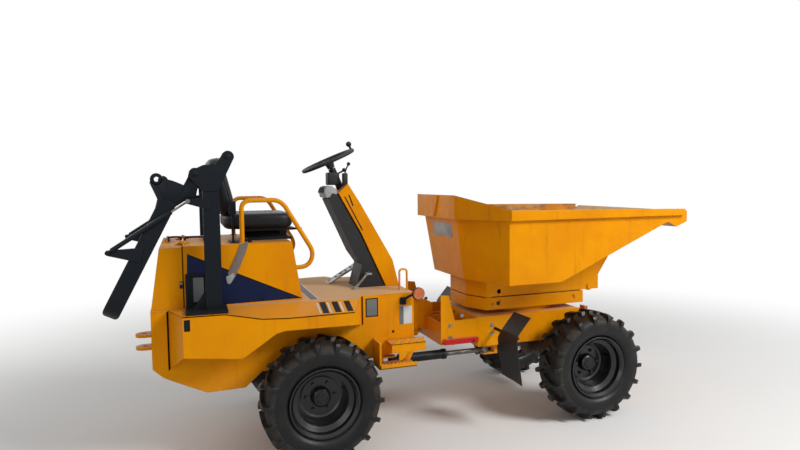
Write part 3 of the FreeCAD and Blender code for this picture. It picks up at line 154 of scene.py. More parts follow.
class Graph:
    """The nodes of one material or of the world."""

    def __init__(self, tree: bpy.types.NodeTree) -> None:
        """Empties the tree."""
        self.tree = tree
        self.tree.nodes.clear()

    def node(self, kind: str, settings: dict[str, Any] | None = None, inputs: dict[Any, Any] | None = None,
             output: str | int = 0) -> Signal:
        """Adds a node.

        Args:
            kind: the node's type.
            settings: its properties, set first, a ramp's stops among them.
            inputs: values or signals for its sockets, by name or number.
            output: the socket that the returned signal reads.

        Returns:
            The chosen output.
        """
        made = self.tree.nodes.new(kind)
        for key, value in (settings or {}).items():
            if key == "stops":
                self._set_stops(made.color_ramp, value)
            else:
                setattr(made, key, value)
        for key, value in (inputs or {}).items():
            self._feed(made.inputs[key], value)
        outputs = made.outputs
        return Signal(self, outputs[output] if len(outputs) else None)

    def _set_stops(self, ramp: bpy.types.ColorRamp, stops: Sequence[tuple[float, Colour]]) -> None:
        """Gives a colour ramp its stops.

        Args:
            ramp: the ramp.
            stops: pairs of a place from 0 to 1 and a colour.
        """
        while len(ramp.elements) < len(stops):
            ramp.elements.new(1.0)
        for element, (place, colour) in zip(ramp.elements, stops):
            element.position = place
            element.color = (*colour, 1.0)

    def _feed(self, socket: bpy.types.NodeSocket, value: Any) -> None:
        """Links a signal to a socket, or sets the socket's own value.

        Args:
            socket: the input that is fed.
            value: a signal, a number, or the parts of a colour or vector.
        """
        if isinstance(value, Signal):
            self.tree.links.new(value.socket, socket)
        elif socket.type == "RGBA" and len(value) == 3:
            socket.default_value = (*value, 1.0)
        else:
            socket.default_value = value

    def place(self) -> Signal:
        """The point's own place on the machine, in metres."""
        return self.node("ShaderNodeTexCoord", output="Object")

    def facing(self) -> Signal:
        """The direction that the surface faces, in the machine's frame."""
        return self.node("ShaderNodeTexCoord", output="Normal")

    def part(self, vector: Signal, axis: str) -> Signal:
        """One of a vector's three parts, named X, Y or Z."""
        return self.node("ShaderNodeSeparateXYZ", {}, {0: vector}, axis)

    def stretched(self, stretch: Point, shift: Point = (0.0, 0.0, 0.0)) -> Signal:
        """The place, scaled apart along the axes after a shift."""
        return self.node("ShaderNodeMapping", {}, {"Vector": self.place(), "Location": shift, "Scale": stretch})

    def noise(self, scale: float, detail: float = 3.0, stretch: Point = (1.0, 1.0, 1.0),
              roughness: float = 0.55) -> Signal:
        """Cloudy noise from 0 to 1 with about that many cells to the metre."""
        settings = {"Vector": self.stretched(stretch), "Scale": scale, "Detail": detail, "Roughness": roughness}
        return self.node("ShaderNodeTexNoise", {}, settings)

    def cells(self, scale: float, stretch: Point = (1.0, 1.0, 1.0)) -> Signal:
        """Distance to the nearest of many scattered points."""
        inputs = {"Vector": self.stretched(stretch), "Scale": scale}
        return self.node("ShaderNodeTexVoronoi", {}, inputs, "Distance")

    def waves(self, direction: str, scale: float) -> Signal:
        """Even bands from 0 to 1 that follow one another in a direction."""
        inputs = {"Vector": self.stretched((1.0, 1.0, 1.0)), "Scale": scale}
        return self.smooth(self.node("ShaderNodeTexWave", {"bands_direction": direction}, inputs), 0.0, 1.0)

    def smooth(self, value: Signal, start: float, end: float) -> Signal:
        """A soft step from 0 at start to 1 at end, which may be the smaller."""
        inputs = {"Value": value, "From Min": start, "From Max": end, "To Min": 0.0, "To Max": 1.0}
        return self.node("ShaderNodeMapRange", {"interpolation_type": "SMOOTHSTEP"}, inputs)

    def mix(self, share: Signal | float, first: Any, second: Any) -> Signal:
        """Two colours mixed: the first at 0, the second at 1."""
        return self.node("ShaderNodeMix", {"data_type": "RGBA"}, {0: share, 6: first, 7: second}, 2)

    def softened(self, radius: float) -> Signal:
        """The surface's direction with its edges rounded off."""
        return self.node("ShaderNodeBevel", {"samples": 4}, {"Radius": radius})

    def edge(self, radius: float) -> Signal:
        """How near a sharp edge is.

        Args:
            radius: how far from an edge its nearness starts.

        Returns:
            0 on the flat, towards 1 on the edge.
        """
        true = self.node("ShaderNodeNewGeometry", output="Normal")
        meets = self.node("ShaderNodeVectorMath", {"operation": "DOT_PRODUCT"},
                          {0: self.softened(radius), 1: true}, "Value")
        return 1.0 - meets

    def bump(self, height: Signal, depth: float, soft_edge: float = 0.0) -> Signal:
        """A direction bent by a height.

        Args:
            height: the relief, in shares of the depth.
            depth: what a height of 1 stands for, in metres.
            soft_edge: radius over which sharp edges are rounded off as well.

        Returns:
            The direction.
        """
        inputs = {"Height": height, "Distance": depth, "Strength": 1.0}
        if soft_edge > 0.0:
            inputs["Normal"] = self.softened(soft_edge)
        return self.node("ShaderNodeBump", {}, inputs)

    def shade(self, **inputs: Any) -> Signal:
        """The shader, with the words of its sockets' names joined by low lines."""
        named = {key.replace("_", " "): value for key, value in inputs.items()}
        return self.node("ShaderNodeBsdfPrincipled", {}, named)

    def finish(self, shader: Signal) -> None:
        """Ends the graph at its output."""
        self.node("ShaderNodeOutputMaterial", {}, {"Surface": shader})


@dataclass(frozen=True)
class Finish:
    """What every finish has: its own name and the record's slot that it belongs to."""

    name: str
    slot: str

    def material(self) -> bpy.types.Material:
        """The finish's material, made when it is first asked for.

        Returns:
            The one material of the finish.
        """
        known = bpy.data.materials.get(self.name + "_finish")
        if known is None:
            known = bpy.data.materials.new(self.name + "_finish")
            known.use_nodes = True
            graph = Graph(known.node_tree)
            graph.finish(self.shader(graph))
        return known

    def shader(self, graph: Graph) -> Signal:
        """The shader of the finish, which each kind of finish has for itself."""
        raise NotImplementedError


@dataclass(frozen=True)
class Paint(Finish):
    """Sprayed paint that has worked outdoors: faded drifts, dust, runs of dirt, mud and chipped edges.

    Attributes:
        colour: the paint where it is clean.
        faded: the paint where sun and rain have dulled it.
        gloss: the roughness of clean paint.
        dust: how thick dust lies on faces that look up.
        dust_colour: the dust.
        runs: how strong the dirty runs down upright faces are.
        mud: how strong the mud near the ground is.
        mud_top: the height that mud reaches.
        chips: how much bare metal shows along edges.
        chip_colour: what shows where paint is gone.
        dents: depth of shallow dents, in metres.
        coat: the weight of the clear coat.
        shine: the level of the mirror-like part.
        mud_colour: the mud.
    """

    colour: Colour = (0.74, 0.275, 0.0015)
    faded: Colour = (0.66, 0.225, 0.003)
    gloss: float = 0.34
    dust: float = 0.45
    dust_colour: Colour = (0.58, 0.40, 0.22)
    runs: float = 0.30
    mud: float = 0.5
    mud_top: float = 0.62
    chips: float = 0.5
    chip_colour: Colour = (0.13, 0.062, 0.028)
    dents: float = 0.004
    coat: float = 0.06
    shine: float = 0.26
    mud_colour: Colour = (0.20, 0.13, 0.075)

    def wear(self, graph: Graph) -> dict[str, Signal]:
        """Where the paint is dusty, dirty or chipped.

        Args:
            graph: the material's graph.

        Returns:
            The masks of dust, runs, mud and chips, from 0 to 1, and the fine and the patchy noise.
        """
        up = graph.part(graph.facing(), "Z")
        height = graph.part(graph.place(), "Z")
        patchy = graph.noise(9.0, 5.0)
        fine = graph.noise(55.0, 4.0)
        upright = 1.0 - graph.smooth(up.size(), 0.3, 0.8)
        streaks = graph.smooth(graph.noise(3.0, 5.0, (9.0, 9.0, 0.8)), 0.55, 0.78)
        low = graph.smooth(height + (patchy - 0.5) * 0.5, self.mud_top, self.mud_top * 0.35)
        spots = graph.smooth(fine, 0.70, 0.76) * graph.smooth(patchy, 0.52, 0.66)
        edge = graph.smooth(graph.edge(0.005) * 1.3 + (fine - 0.5) * 0.9, 0.26, 0.46)
        worn = graph.smooth(patchy, 0.36, 0.60)
        return {
            "dust": graph.smooth(up + (patchy - 0.5) * 0.5, 0.35, 1.0) * self.dust,
            "runs": streaks * upright * self.runs,
            "mud": low * graph.smooth(fine + patchy * 0.6, 0.55, 0.95) * self.mud,
            "chips": (edge * worn * self.chips).larger(spots * self.chips * 0.8),
            "fine": fine,
            "patchy": patchy,
        }

    def coloured(self, graph: Graph, wear: dict[str, Signal]) -> Signal:
        """The clean paint's colour, faded in drifts; a kind of paint may use its wear as well."""
        return graph.mix(graph.smooth(graph.noise(2.3, 4.0), 0.38, 0.68), self.colour, self.faded)

    def shader(self, graph: Graph) -> Signal:
        """Paint under its wear: runs first, then chips, dust and mud over one another.

        Args:
            graph: the material's graph.

        Returns:
            The shader.
        """
        wear = self.wear(graph)
        run_colour = tuple(0.42 * part + 0.004 for part in self.colour)
        tint = tuple((part / max(self.colour)) ** 0.5 for part in self.colour)
        colour = self.coloured(graph, wear)
        colour = graph.mix(wear["runs"], colour, run_colour)
        colour = graph.mix(wear["chips"], colour, self.chip_colour)
        colour = graph.mix(wear["dust"], colour, self.dust_colour)
        colour = graph.mix(wear["mud"], colour, self.mud_colour)
        dull = wear["dust"] * 0.45 + wear["mud"] * 0.5 + wear["chips"] * 0.3 + wear["runs"] * 0.15
        rough = self.gloss + dull + (wear["fine"] - 0.5) * 0.08
        relief = wear["patchy"] * 0.9 + wear["fine"] * 0.05 - wear["chips"] * 0.10
        return graph.shade(Base_Color=colour, Roughness=rough, Coat_Weight=self.coat, Coat_Roughness=0.25,
                           Specular_IOR_Level=self.shine, Specular_Tint=tint,
                           Normal=graph.bump(relief, self.dents, 0.0025))


@dataclass(frozen=True)
class Metal(Finish):
    """Bare metal, ground or worn, with grime in patches."""

    colour: Colour = (0.55, 0.54, 0.52)
    grime: Colour = (0.10, 0.075, 0.05)
    roughness: float = 0.3
    dirty: float = 0.4
    grain: Point = (1.0, 1.0, 1.0)

    def shader(self, graph: Graph) -> Signal:
        """Metal whose grime is also rougher.

        Args:
            graph: the material's graph.

        Returns:
            The shader.
        """
        patches = graph.smooth(graph.noise(24.0, 5.0), 0.42, 0.68) * self.dirty
        lines = graph.noise(160.0, 2.0, self.grain)
        colour = graph.mix(patches, self.colour, self.grime)
        rough = self.roughness + patches * 0.4 + (lines - 0.5) * 0.16
        return graph.shade(Base_Color=colour, Roughness=rough, Metallic=1.0 - patches * 0.8,
                           Normal=graph.bump(lines, 0.0003, 0.0012))


@dataclass(frozen=True)
class Moulded(Finish):
    """Moulded plastic or rubber with a fine grain and dust in it."""

    colour: Colour = (0.011, 0.011, 0.012)
    dust_colour: Colour = (0.16, 0.13, 0.10)
    dust: float = 0.2
    roughness: float = 0.5
    grain: float = 700.0
    relief: float = 0.0004

    def shader(self, graph: Graph) -> Signal:
        """Grained material, dustier where it looks up and at worn edges.

        Args:
            graph: the material's graph.

        Returns:
            The shader.
        """
        up = graph.part(graph.facing(), "Z")
        patchy = graph.noise(14.0, 5.0)
        edge = graph.smooth(graph.edge(0.003) + (patchy - 0.5) * 0.4, 0.12, 0.5)
        dusty = (graph.smooth(up + (patchy - 0.5) * 0.9, 0.1, 1.1) + edge * 0.5) * self.dust
        colour = graph.mix(dusty, self.colour, self.dust_colour)
        grain = graph.cells(self.grain)
        return graph.shade(Base_Color=colour, Roughness=self.roughness + dusty * 0.4, Specular_IOR_Level=0.3,
                           Normal=graph.bump(grain + patchy * 0.6, self.relief, 0.0015))


@dataclass(frozen=True)
class Hide(Finish):
    """Vinyl of pads: leather grain, and a sheen where it is sat on."""

    colour: Colour = (0.005, 0.005, 0.006)
    rubbed: Colour = (0.011, 0.011, 0.012)

    def shader(self, graph: Graph) -> Signal:
        """Two sizes of creased cells over soft wrinkles.

        Args:
            graph: the material's graph.

        Returns:
            The shader.
        """
        creases = graph.cells(420.0)
        pores = graph.cells(1500.0)
        soft = graph.noise(16.0, 4.0)
        up = graph.part(graph.facing(), "Z")
        sat_on = graph.smooth(up + (soft - 0.5) * 0.8, 0.55, 1.15)
        colour = graph.mix(sat_on, self.colour, self.rubbed)
        relief = creases * 0.5 + pores * 0.15 + soft * 1.6
        return graph.shade(Base_Color=colour, Roughness=0.36 - sat_on * 0.06 + creases * 0.1,
                           Specular_IOR_Level=0.24, Normal=graph.bump(relief, 0.0009))


@dataclass(frozen=True)
class Webbing(Finish):
    """Woven strap: a twill of bands across its length, dusty and worn."""

    colour: Colour = (0.15, 0.115, 0.10)
    thread: Colour = (0.27, 0.22, 0.19)

    def shader(self, graph: Graph) -> Signal:
        """Crossed waves stand for the warp and the weft.

        Args:
            graph: the material's graph.

        Returns:
            The shader.
        """
        weave = graph.waves("DIAGONAL", 210.0) * graph.waves("Z", 160.0)
        soil = graph.noise(30.0, 5.0)
        colour = graph.mix(weave * 0.6 + soil * 0.4, self.colour, self.thread)
        return graph.shade(Base_Color=colour, Roughness=0.85, Sheen_Weight=0.2,
                           Normal=graph.bump(weave, 0.0006))


@dataclass(frozen=True)
class Lens(Finish):
    """Ribbed lamp plastic that lets some light through."""

    colour: Colour = (0.78, 0.16, 0.01)
    ribs: float = 150.0

    def shader(self, graph: Graph) -> Signal:
        """Fine prisms below a smooth outside, with a film of dust.

        Args:
            graph: the material's graph.

        Returns:
            The shader.
        """
        film = graph.smooth(graph.noise(40.0, 4.0), 0.4, 0.8) * 0.35
        colour = graph.mix(film, self.colour, tuple(0.6 * part + 0.12 for part in self.colour))
        height = graph.waves("Z", self.ribs)
        return graph.shade(Base_Color=colour, Roughness=0.18 + film * 0.6, Transmission_Weight=0.25, IOR=1.49,
                           Coat_Weight=0.6, Normal=graph.bump(height, 0.0007))


@dataclass(frozen=True)
class Tread(Finish):
    """Tyre rubber: scuffed lug tops, dark walls and dry soil in the grooves."""

    rubber: Colour = (0.0055, 0.0055, 0.006)
    scuffed: Colour = (0.016, 0.0155, 0.015)
    soil: Colour = (0.045, 0.037, 0.028)

    def shader(self, graph: Graph) -> Signal:
        """Mixes by the lug attribute: 0 in the grooves, 1 on the lugs' tops.

        Args:
            graph: the material's graph.

        Returns:
            The shader.
        """
        lug = graph.node("ShaderNodeAttribute", {"attribute_name": "lug"}, output="Fac")
        patchy = graph.noise(11.0, 5.0)
        fine = graph.noise(130.0, 4.0)
        groove = graph.smooth(lug + (patchy - 0.5) * 0.5, 0.35, 0.0) * graph.smooth(fine + patchy, 0.7, 1.25)
        top = graph.smooth(lug + (fine - 0.5) * 0.3, 0.88, 1.05)
        colour = graph.mix(graph.smooth(patchy, 0.4, 0.75) * 0.5, self.rubber, self.scuffed)
        colour = graph.mix(top * 0.6, colour, self.scuffed)
        colour = graph.mix(groove * 0.75, colour, self.soil)
        rough = 0.40 + groove * 0.4 - top * 0.04
        return graph.shade(Base_Color=colour, Roughness=rough, Specular_IOR_Level=0.28,
                           Normal=graph.bump(fine + patchy * 0.8, 0.0009, 0.002))


@dataclass(frozen=True)
class SkipPaint(Paint):
    """The skip's paint: amber outside, scraped to rust and dry soil on the inside.

    Attributes:
        heart: a place inside the load space, which inner faces look towards.
        rim: heights between which the inside's wear begins below the rim.
        rust: the scraped metal where it is dark.
        soil: where dry soil lies on it.
    """

    heart: Point = (1.10, 0.0, 1.42)
    rim: Flat = (1.60, 1.46)
    rust: Colour = (0.24, 0.125, 0.058)
    soil: Colour = (0.40, 0.29, 0.18)

    def coloured(self, graph: Graph, wear: dict[str, Signal]) -> Signal:
        """Paint that gives way to scraped metal where a face looks into the load space.

        Args:
            graph: the material's graph.
            wear: the masks of the paint's wear.

        Returns:
            The colour.
        """
        outside = super().coloured(graph, wear)
        kind = "ShaderNodeVectorMath"
        toward = graph.node(kind, {"operation": "SUBTRACT"}, {0: self.heart, 1: graph.place()})
        meets = graph.node(kind, {"operation": "DOT_PRODUCT"}, {0: toward, 1: graph.facing()}, "Value")
        below_rim = graph.smooth(graph.part(graph.place(), "Z"), *self.rim)
        inside = graph.smooth(meets, 0.0, 0.02) * below_rim
        scrapes = graph.smooth(graph.noise(5.0, 6.0, (1.0, 5.0, 5.0)), 0.40, 0.60)
        bare = graph.mix(graph.smooth(wear["patchy"], 0.4, 0.66), self.rust, self.soil)
        return graph.mix(inside * (0.35 + scrapes * 0.6), outside, bare)


BODY = Paint("body_paint", "body_paint")
FENDER = Paint("fender_paint", "body_paint", dust=0.10, mud=0.3, chips=0.6)
COVER = Paint("cover_paint", "body_paint", dust=0.3, mud=0.0, chips=0.3, runs=0.2, dents=0.002)
DECK = Paint("deck_paint", "deck_paint", dust=0.85, dust_colour=(0.60, 0.41, 0.235), chips=0.7, mud=0.35)
SKIP = SkipPaint("skip_paint", "skip_paint", mud=0.0, dust=0.5, chips=0.75, runs=0.42, dents=0.007)
BLACK = Paint("black_paint", "black_paint", colour=(0.0045, 0.0055, 0.0075), faded=(0.007, 0.0085, 0.0105),
              gloss=0.36, dust=0.06, dust_colour=(0.10, 0.085, 0.07), runs=0.06, mud=0.22, chips=0.22,
              chip_colour=(0.06, 0.05, 0.04), dents=0.0012, coat=0.0, shine=0.20)
RIM = Paint("rim_paint", "black_paint", colour=(0.0045, 0.0045, 0.005), faded=(0.007, 0.007, 0.0075),
            gloss=0.24, dust=0.05, dust_colour=(0.09, 0.075, 0.06), runs=0.05, mud=0.0, chips=0.16,
            chip_colour=(0.05, 0.04, 0.035), dents=0.0008, coat=0.3, shine=0.35)
IRON = Paint("cast_iron", "axle_black", colour=(0.022, 0.021, 0.020), faded=(0.045, 0.040, 0.034), gloss=0.6,
             dust=0.6, dust_colour=(0.22, 0.16, 0.10), runs=0.3, mud=0.8, mud_top=0.9, chips=0.5,
             chip_colour=(0.16, 0.075, 0.035), dents=0.002)
ENGINE = Paint("engine_iron", "engine_iron", colour=(0.11, 0.115, 0.11), faded=(0.16, 0.155, 0.14), gloss=0.5,
               dust=0.6, dust_colour=(0.20, 0.15, 0.10), mud=0.3, chips=0.4, dents=0.002)
RED = Paint("red_paint", "red_paint", colour=(0.46, 0.016, 0.016), faded=(0.38, 0.03, 0.024), gloss=0.4,
            dust=0.35, runs=0.2, mud=0.2, chips=0.6, dents=0.0012)
STEEL = Metal("worn_steel", "worn_steel", colour=(0.36, 0.35, 0.33), roughness=0.42, dirty=0.7)
CHROME = Metal("hard_chrome", "chrome_rod", colour=(0.60, 0.60, 0.61), roughness=0.16, dirty=0.5)
GRIMY = Metal("grimy_rod", "chrome_rod", colour=(0.20, 0.19, 0.18), grime=(0.03, 0.026, 0.022), roughness=0.4,
              dirty=0.95)
NAVY = Paint("navy_stripe", "body_paint", colour=(0.006, 0.010, 0.040), faded=(0.009, 0.014, 0.050), gloss=0.3,
             dust=0.2, mud=0.0, chips=0.2, dents=0.001)
WHITE = Paint("white_label", "body_paint", colour=(0.62, 0.63, 0.62), faded=(0.50, 0.50, 0.48), gloss=0.4,
              dust=0.2, mud=0.15, chips=0.35, chip_colour=(0.30, 0.26, 0.20), dents=0.0005)
GREY = Paint("grey_label", "body_paint", colour=(0.17, 0.19, 0.18), faded=(0.12, 0.13, 0.125), gloss=0.4,
             dust=0.2, mud=0.15, chips=0.3, dents=0.0005)
WORN_LABEL = Paint("worn_label", "skip_paint", colour=(0.42, 0.42, 0.43), faded=(0.16, 0.17, 0.20), gloss=0.5,
                   dust=0.2, mud=0.0, chips=0.9, chip_colour=(0.50, 0.20, 0.03), dents=0.0005)
PALE_PLASTIC = Moulded("pale_plastic", "black_plastic", colour=(0.33, 0.34, 0.34), roughness=0.45, dust=0.35)
PLASTIC = Moulded("black_plastic", "black_plastic")
FLAP = Moulded("flap_rubber", "flap_rubber", colour=(0.007, 0.0075, 0.009), dust=0.07, roughness=0.45,
               grain=160.0)
SEAT_HIDE = Hide("seat_vinyl", "seat_vinyl")
STRAP = Webbing("belt_webbing", "belt_webbing")
AMBER_LENS = Lens("amber_lens", "amber_lens")
RUBBER = Tread("tyre_rubber", "tyre")

# The carried parts that stay, each with its finish
NODE_FINISHES: dict[str, Finish] = {
    "rear_chassis": BODY, "engine_block": ENGINE, "engine_cover": COVER, "rear_hood": COVER,
    "rear_axle": IRON, "roll_posts": BLACK, "pivot_jaw": BODY, "console_shroud": PLASTIC,
    "steering_column": BLACK, "pedals": STEEL, "seat_base": BLACK, "front_chassis": BODY,
    "front_axle": IRON, "slew_base": BODY, "lock_bar": RED, "front_markers": AMBER_LENS,
    "swivel_frame": BODY, "skip_tub": SKIP, "skip_underframe": BODY, "tip_barrel": BLACK,
    "tip_rod": CHROME, "steer_barrel": BLACK, "steer_rod": GRIMY, "steering_wheel": PLASTIC,
    "strut_barrels": BLACK, "strut_rods": GRIMY, "rim_rear_left": RIM, "rim_rear_right": RIM,
    "rim_front_left": RIM, "rim_front_right": RIM,
}


def unit(vectors: np.ndarray) -> np.ndarray:
    """Vectors scaled to a length of 1."""
    return vectors / np.linalg.norm(vectors, axis=-1, keepdims=True)


@dataclass(frozen=True)
class Patch:
    """A grid of points that becomes a skin of four-sided faces.

    Attributes:
        points: rows by columns by 3 places.
        ring_rows: whether the last row joins the first.
        ring_columns: whether the last column joins the first.
        capped: whether one face closes each end row.
    """

    points: np.ndarray
    ring_rows: bool = False
    ring_columns: bool = True
    capped: bool = False

    def faces(self, start: int) -> tuple[np.ndarray, np.ndarray]:
        """Corner numbers of all faces and how many corners each has.

        Args:
            start: the number of the patch's first point in the mesh.

        Returns:
            The corners in one row, and the count of corners of each face.
        """
        rows, columns = self.points.shape[:2]
        row = np.arange(rows if self.ring_rows else rows - 1)[:, None]
        column = np.arange(columns if self.ring_columns else columns - 1)[None, :]
        next_row = (row + 1) % rows
        next_column = (column + 1) % columns
        quads = np.stack(np.broadcast_arrays(row * columns + column, row * columns + next_column,
                                             next_row * columns + next_column, next_row * columns + column), -1)
        corners = quads.reshape(-1)
        counts = np.full(len(corners) // 4, 4)
        if self.capped:
            ends = np.arange(columns)
            corners = np.concatenate([corners, ends[::-1], ends + (rows - 1) * columns])
            counts = np.concatenate([counts, [columns, columns]])
        return corners + start, counts


@dataclass(frozen=True)
class Place:
    """Where a shape goes.

    Attributes:
        origin: where its own origin comes.
        along: the direction of its own z.
        upper: the direction that its own y keeps nearest to.
    """

    origin: Point
    along: Point = UP
    upper: Point = ACROSS

    def carry(self, points: np.ndarray) -> np.ndarray:
        """Moves points from the shape's own axes to the machine's.

        Args:
            points: the points, with their places last.

        Returns:
            The points on the machine.
        """
        ahead = unit(np.array(self.along, float))
        side = unit(np.cross(np.array(self.upper, float), ahead))
        rise = np.cross(ahead, side)
        return np.array(self.origin) + points @ np.stack([side, rise, ahead])

    def put(self, patches: Sequence[Patch]) -> list[Patch]:
        """Patches moved in the same way."""
        return [Patch(self.carry(p.points), p.ring_rows, p.ring_columns, p.capped) for p in patches]


def rectangle(x0: float, x1: float, y0: float, y1: float) -> list[Flat]:
    """The corners of a rectangle, in order."""
    return [(x0, y0), (x1, y0), (x1, y1), (x0, y1)]


def ring(count: int, radius: float, turn: float = 0.0) -> np.ndarray:
    """Points evenly round a circle, the first one turned by an angle in degrees."""
    angle = np.linspace(0.0, TURN, count, endpoint=False) + math.radians(turn)
    return np.stack([radius * np.cos(angle), radius * np.sin(angle)], -1)


def arc(centre: Flat, radius: float, start: float, end: float, count: int = 13) -> list[Flat]:
    """Places along an arc round a centre, the angles in degrees."""
    angle = np.radians(np.linspace(start, end, count))
    return [(centre[0] + radius * math.cos(a), centre[1] + radius * math.sin(a)) for a in angle]


def revolved(profile: Sequence[Flat], count: int = 32, bored: bool = False) -> Patch:
    """Turns (radius, height) points about the z axis: x = r cos a, y = r sin a, z = h.

    Args:
        profile: the points from the lower end to the upper one, or all round a bored shape's wall.
        count: how many points go round.
        bored: whether the profile closes on itself and leaves the middle open.

    Returns:
        The skin.
    """
    radius, height = np.array(profile, float).T
    angle = np.linspace(0.0, TURN, count, endpoint=False)
    points = np.stack([np.outer(radius, np.cos(angle)), np.outer(radius, np.sin(angle)),
                       np.outer(height, np.ones(count))], -1)
    return Patch(points, ring_rows=bored, capped=not bored)


def rounded_outline(corners: Sequence[Flat], radius: float, steps: int = 4) -> np.ndarray:
    """A closed outline whose corners are blended by short curves.

    Each corner C with cut ends A and B is replaced by the points (1-t)²A + 2t(1-t)C + t²B.

    Args:
        corners: the sharp corners in order.
        radius: how far from a corner its curve starts.
        steps: spans of one curve.

    Returns:
        The outline's points.
    """
    here = np.array(corners, float)
    before = np.roll(here, 1, axis=0) - here
    after = np.roll(here, -1, axis=0) - here
    start = here + before * np.minimum(radius / np.linalg.norm(before, axis=1), 0.45)[:, None]
    end = here + after * np.minimum(radius / np.linalg.norm(after, axis=1), 0.45)[:, None]
    share = np.linspace(0.0, 1.0, steps + 1)[None, :, None]
    curve = (1 - share) ** 2 * start[:, None] + share ** 2 * end[:, None]
    return (curve + 2 * share * (1 - share) * here[:, None]).reshape(-1, 2)


def shrunk(outline: np.ndarray, by: float) -> np.ndarray:
    """An outline moved inwards: each point goes along the mean of its two sides' inner normals.

    Args:
        outline: the closed outline, in either sense.
        by: how far its sides move.

    Returns:
        The smaller outline, with as many points.
    """
    before = outline - np.roll(outline, 1, axis=0)
    after = np.roll(outline, -1, axis=0) - outline
    following = np.roll(outline, -1, axis=0)
    area = np.sum(outline[:, 0] * following[:, 1] - following[:, 0] * outline[:, 1])
    turn = 1.0 if area > 0 else -1.0
    normals = [unit(np.stack([-step[:, 1], step[:, 0]], -1)) * turn for step in (before, after)]
    meets = np.sum(normals[0] * normals[1], axis=1)[:, None]
    return outline + (normals[0] + normals[1]) * by / (1.0 + np.maximum(meets, -0.4))


def prism(outline: np.ndarray, low: float, high: float, edge: float, steps: int = 2) -> Patch:
    """Runs an outline from low to high along z, with both rims rounded by quarter circles.

    At an angle a from 0 to 90 degrees on a rim, the outline is drawn in by edge (1 - sin a) and lies
    edge (1 - cos a) from the end.

    Args:
        outline: the closed outline.
        low: height of the lower end.
        high: height of the upper end.
        edge: radius of the rims.
        steps: spans of one rim.

    Returns:
        The skin.
    """
    angle = np.linspace(0.0, math.pi / 2, steps + 1)
    inward = edge * (1 - np.sin(angle))
    rise = edge * (1 - np.cos(angle))
    rows = [np.column_stack([shrunk(outline, i), np.full(len(outline), low + r)]) for i, r in zip(inward, rise)]
    rows += [np.column_stack([shrunk(outline, i), np.full(len(outline), high - r)])
             for i, r in zip(inward[::-1], rise[::-1])]
    return Patch(np.stack(rows), capped=True)


def side_plate(outline: Sequence[Flat], side: Side, y: float, thick: float, edge: float = 0.0003,
               steps: int = 1) -> Patch:
    """A flat plate on an upright side face.

    Args:
        outline: its (x, z) places.
        side: the side of the machine.
        y: how far out the face is that it lies on.
        thick: its thickness, outwards.
        edge: radius of its rims.
        steps: spans of a rim.

    Returns:
        The skin.
    """
    flat = prism(np.array(outline, float), 0.0, thick, edge, steps).points
    return Patch(np.stack([flat[..., 0], side.value * (y + flat[..., 2]), flat[..., 1]], -1), capped=True)


def across_prism(outline: Sequence[Flat], y0: float, y1: float, edge: float = 0.0015, steps: int = 2) -> Patch:
    """Runs an outline of (x, z) places across the machine, from y0 to y1."""
    flat = prism(np.array(outline, float), y0, y1, edge, steps).points
    return Patch(np.stack([flat[..., 0], flat[..., 2], flat[..., 1]], -1), capped=True)


def box_patch(low: Point, high: Point, edge: float) -> Patch:
    """A box between two corners with rounded edges."""
    outline = rounded_outline(rectangle(low[0], high[0], low[1], high[1]), edge, 3)
    return prism(outline, low[2], high[2], edge * 0.8, 3)


def carried(profile: np.ndarray, path: np.ndarray, upper: Point, ring_path: bool = False) -> Patch:
    """Carries a closed (side, rise) profile along a path whose frames keep to one upper direction.

    Args:
        profile: the section's points.
        path: the places that it is carried through.
        upper: the direction that the section's rise keeps nearest to.
        ring_path: whether the path closes on itself.

    Returns:
        The skin.
    """
    if ring_path:
        run = np.roll(path, -1, axis=0) - np.roll(path, 1, axis=0)
    else:
        run = np.gradient(path, axis=0)
    side = unit(np.cross(unit(run), np.array(upper, float)))
    rise = np.cross(side, unit(run))
    points = path[:, None] + profile[None, :, :1] * side[:, None] + profile[None, :, 1:] * rise[:, None]
    return Patch(points, ring_rows=ring_path, capped=not ring_path)


def smoothed(places: Sequence[Sequence[float]], spans: int, rounds: int) -> np.ndarray:
    """A line through places with its corners worn off.

    Each stretch is cut into equal spans. Then, in each round, an inner point P between A and B becomes
    (A + 2P + B) / 4.

    Args:
        places: the chosen points.
        spans: spans of one stretch.
        rounds: how often the points are worn.

    Returns:
        The line's points.
    """
    chosen = np.array(places, float)
    fine = np.linspace(0.0, len(chosen) - 1, (len(chosen) - 1) * spans + 1)
    line = np.stack([np.interp(fine, np.arange(len(chosen)), column) for column in chosen.T], -1)
    for _ in range(rounds):
        line[1:-1] = (line[:-2] + 2.0 * line[1:-1] + line[2:]) / 4.0
    return line


def bent(points: Sequence[Point], cut: float, steps: int = 8) -> np.ndarray:
    """A path through places whose corners are blended by the curves of rounded_outline.

    Args:
        points: the chosen places.
        cut: how far from a corner its curve starts.
        steps: spans of one curve.

    Returns:
        The path's points.
    """
    places = np.array(points, float)
    share = np.linspace(0.0, 1.0, steps + 1)[:, None]
    path = [places[:1]]
    for before, here, after in zip(places, places[1:], places[2:]):
        start = here + (before - here) * min(cut / np.linalg.norm(before - here), 0.48)
        end = here + (after - here) * min(cut / np.linalg.norm(after - here), 0.48)
        path.append((1 - share) ** 2 * start + 2 * share * (1 - share) * here + share ** 2 * end)
    path.append(places[-1:])
    return np.concatenate(path)


def tube(path: Sequence[Point], radius: float, upper: Point = ACROSS) -> Patch:
    """A round tube through a few places, with soft bends."""
    return carried(ring(14, radius), smoothed(path, 8, 4), upper)


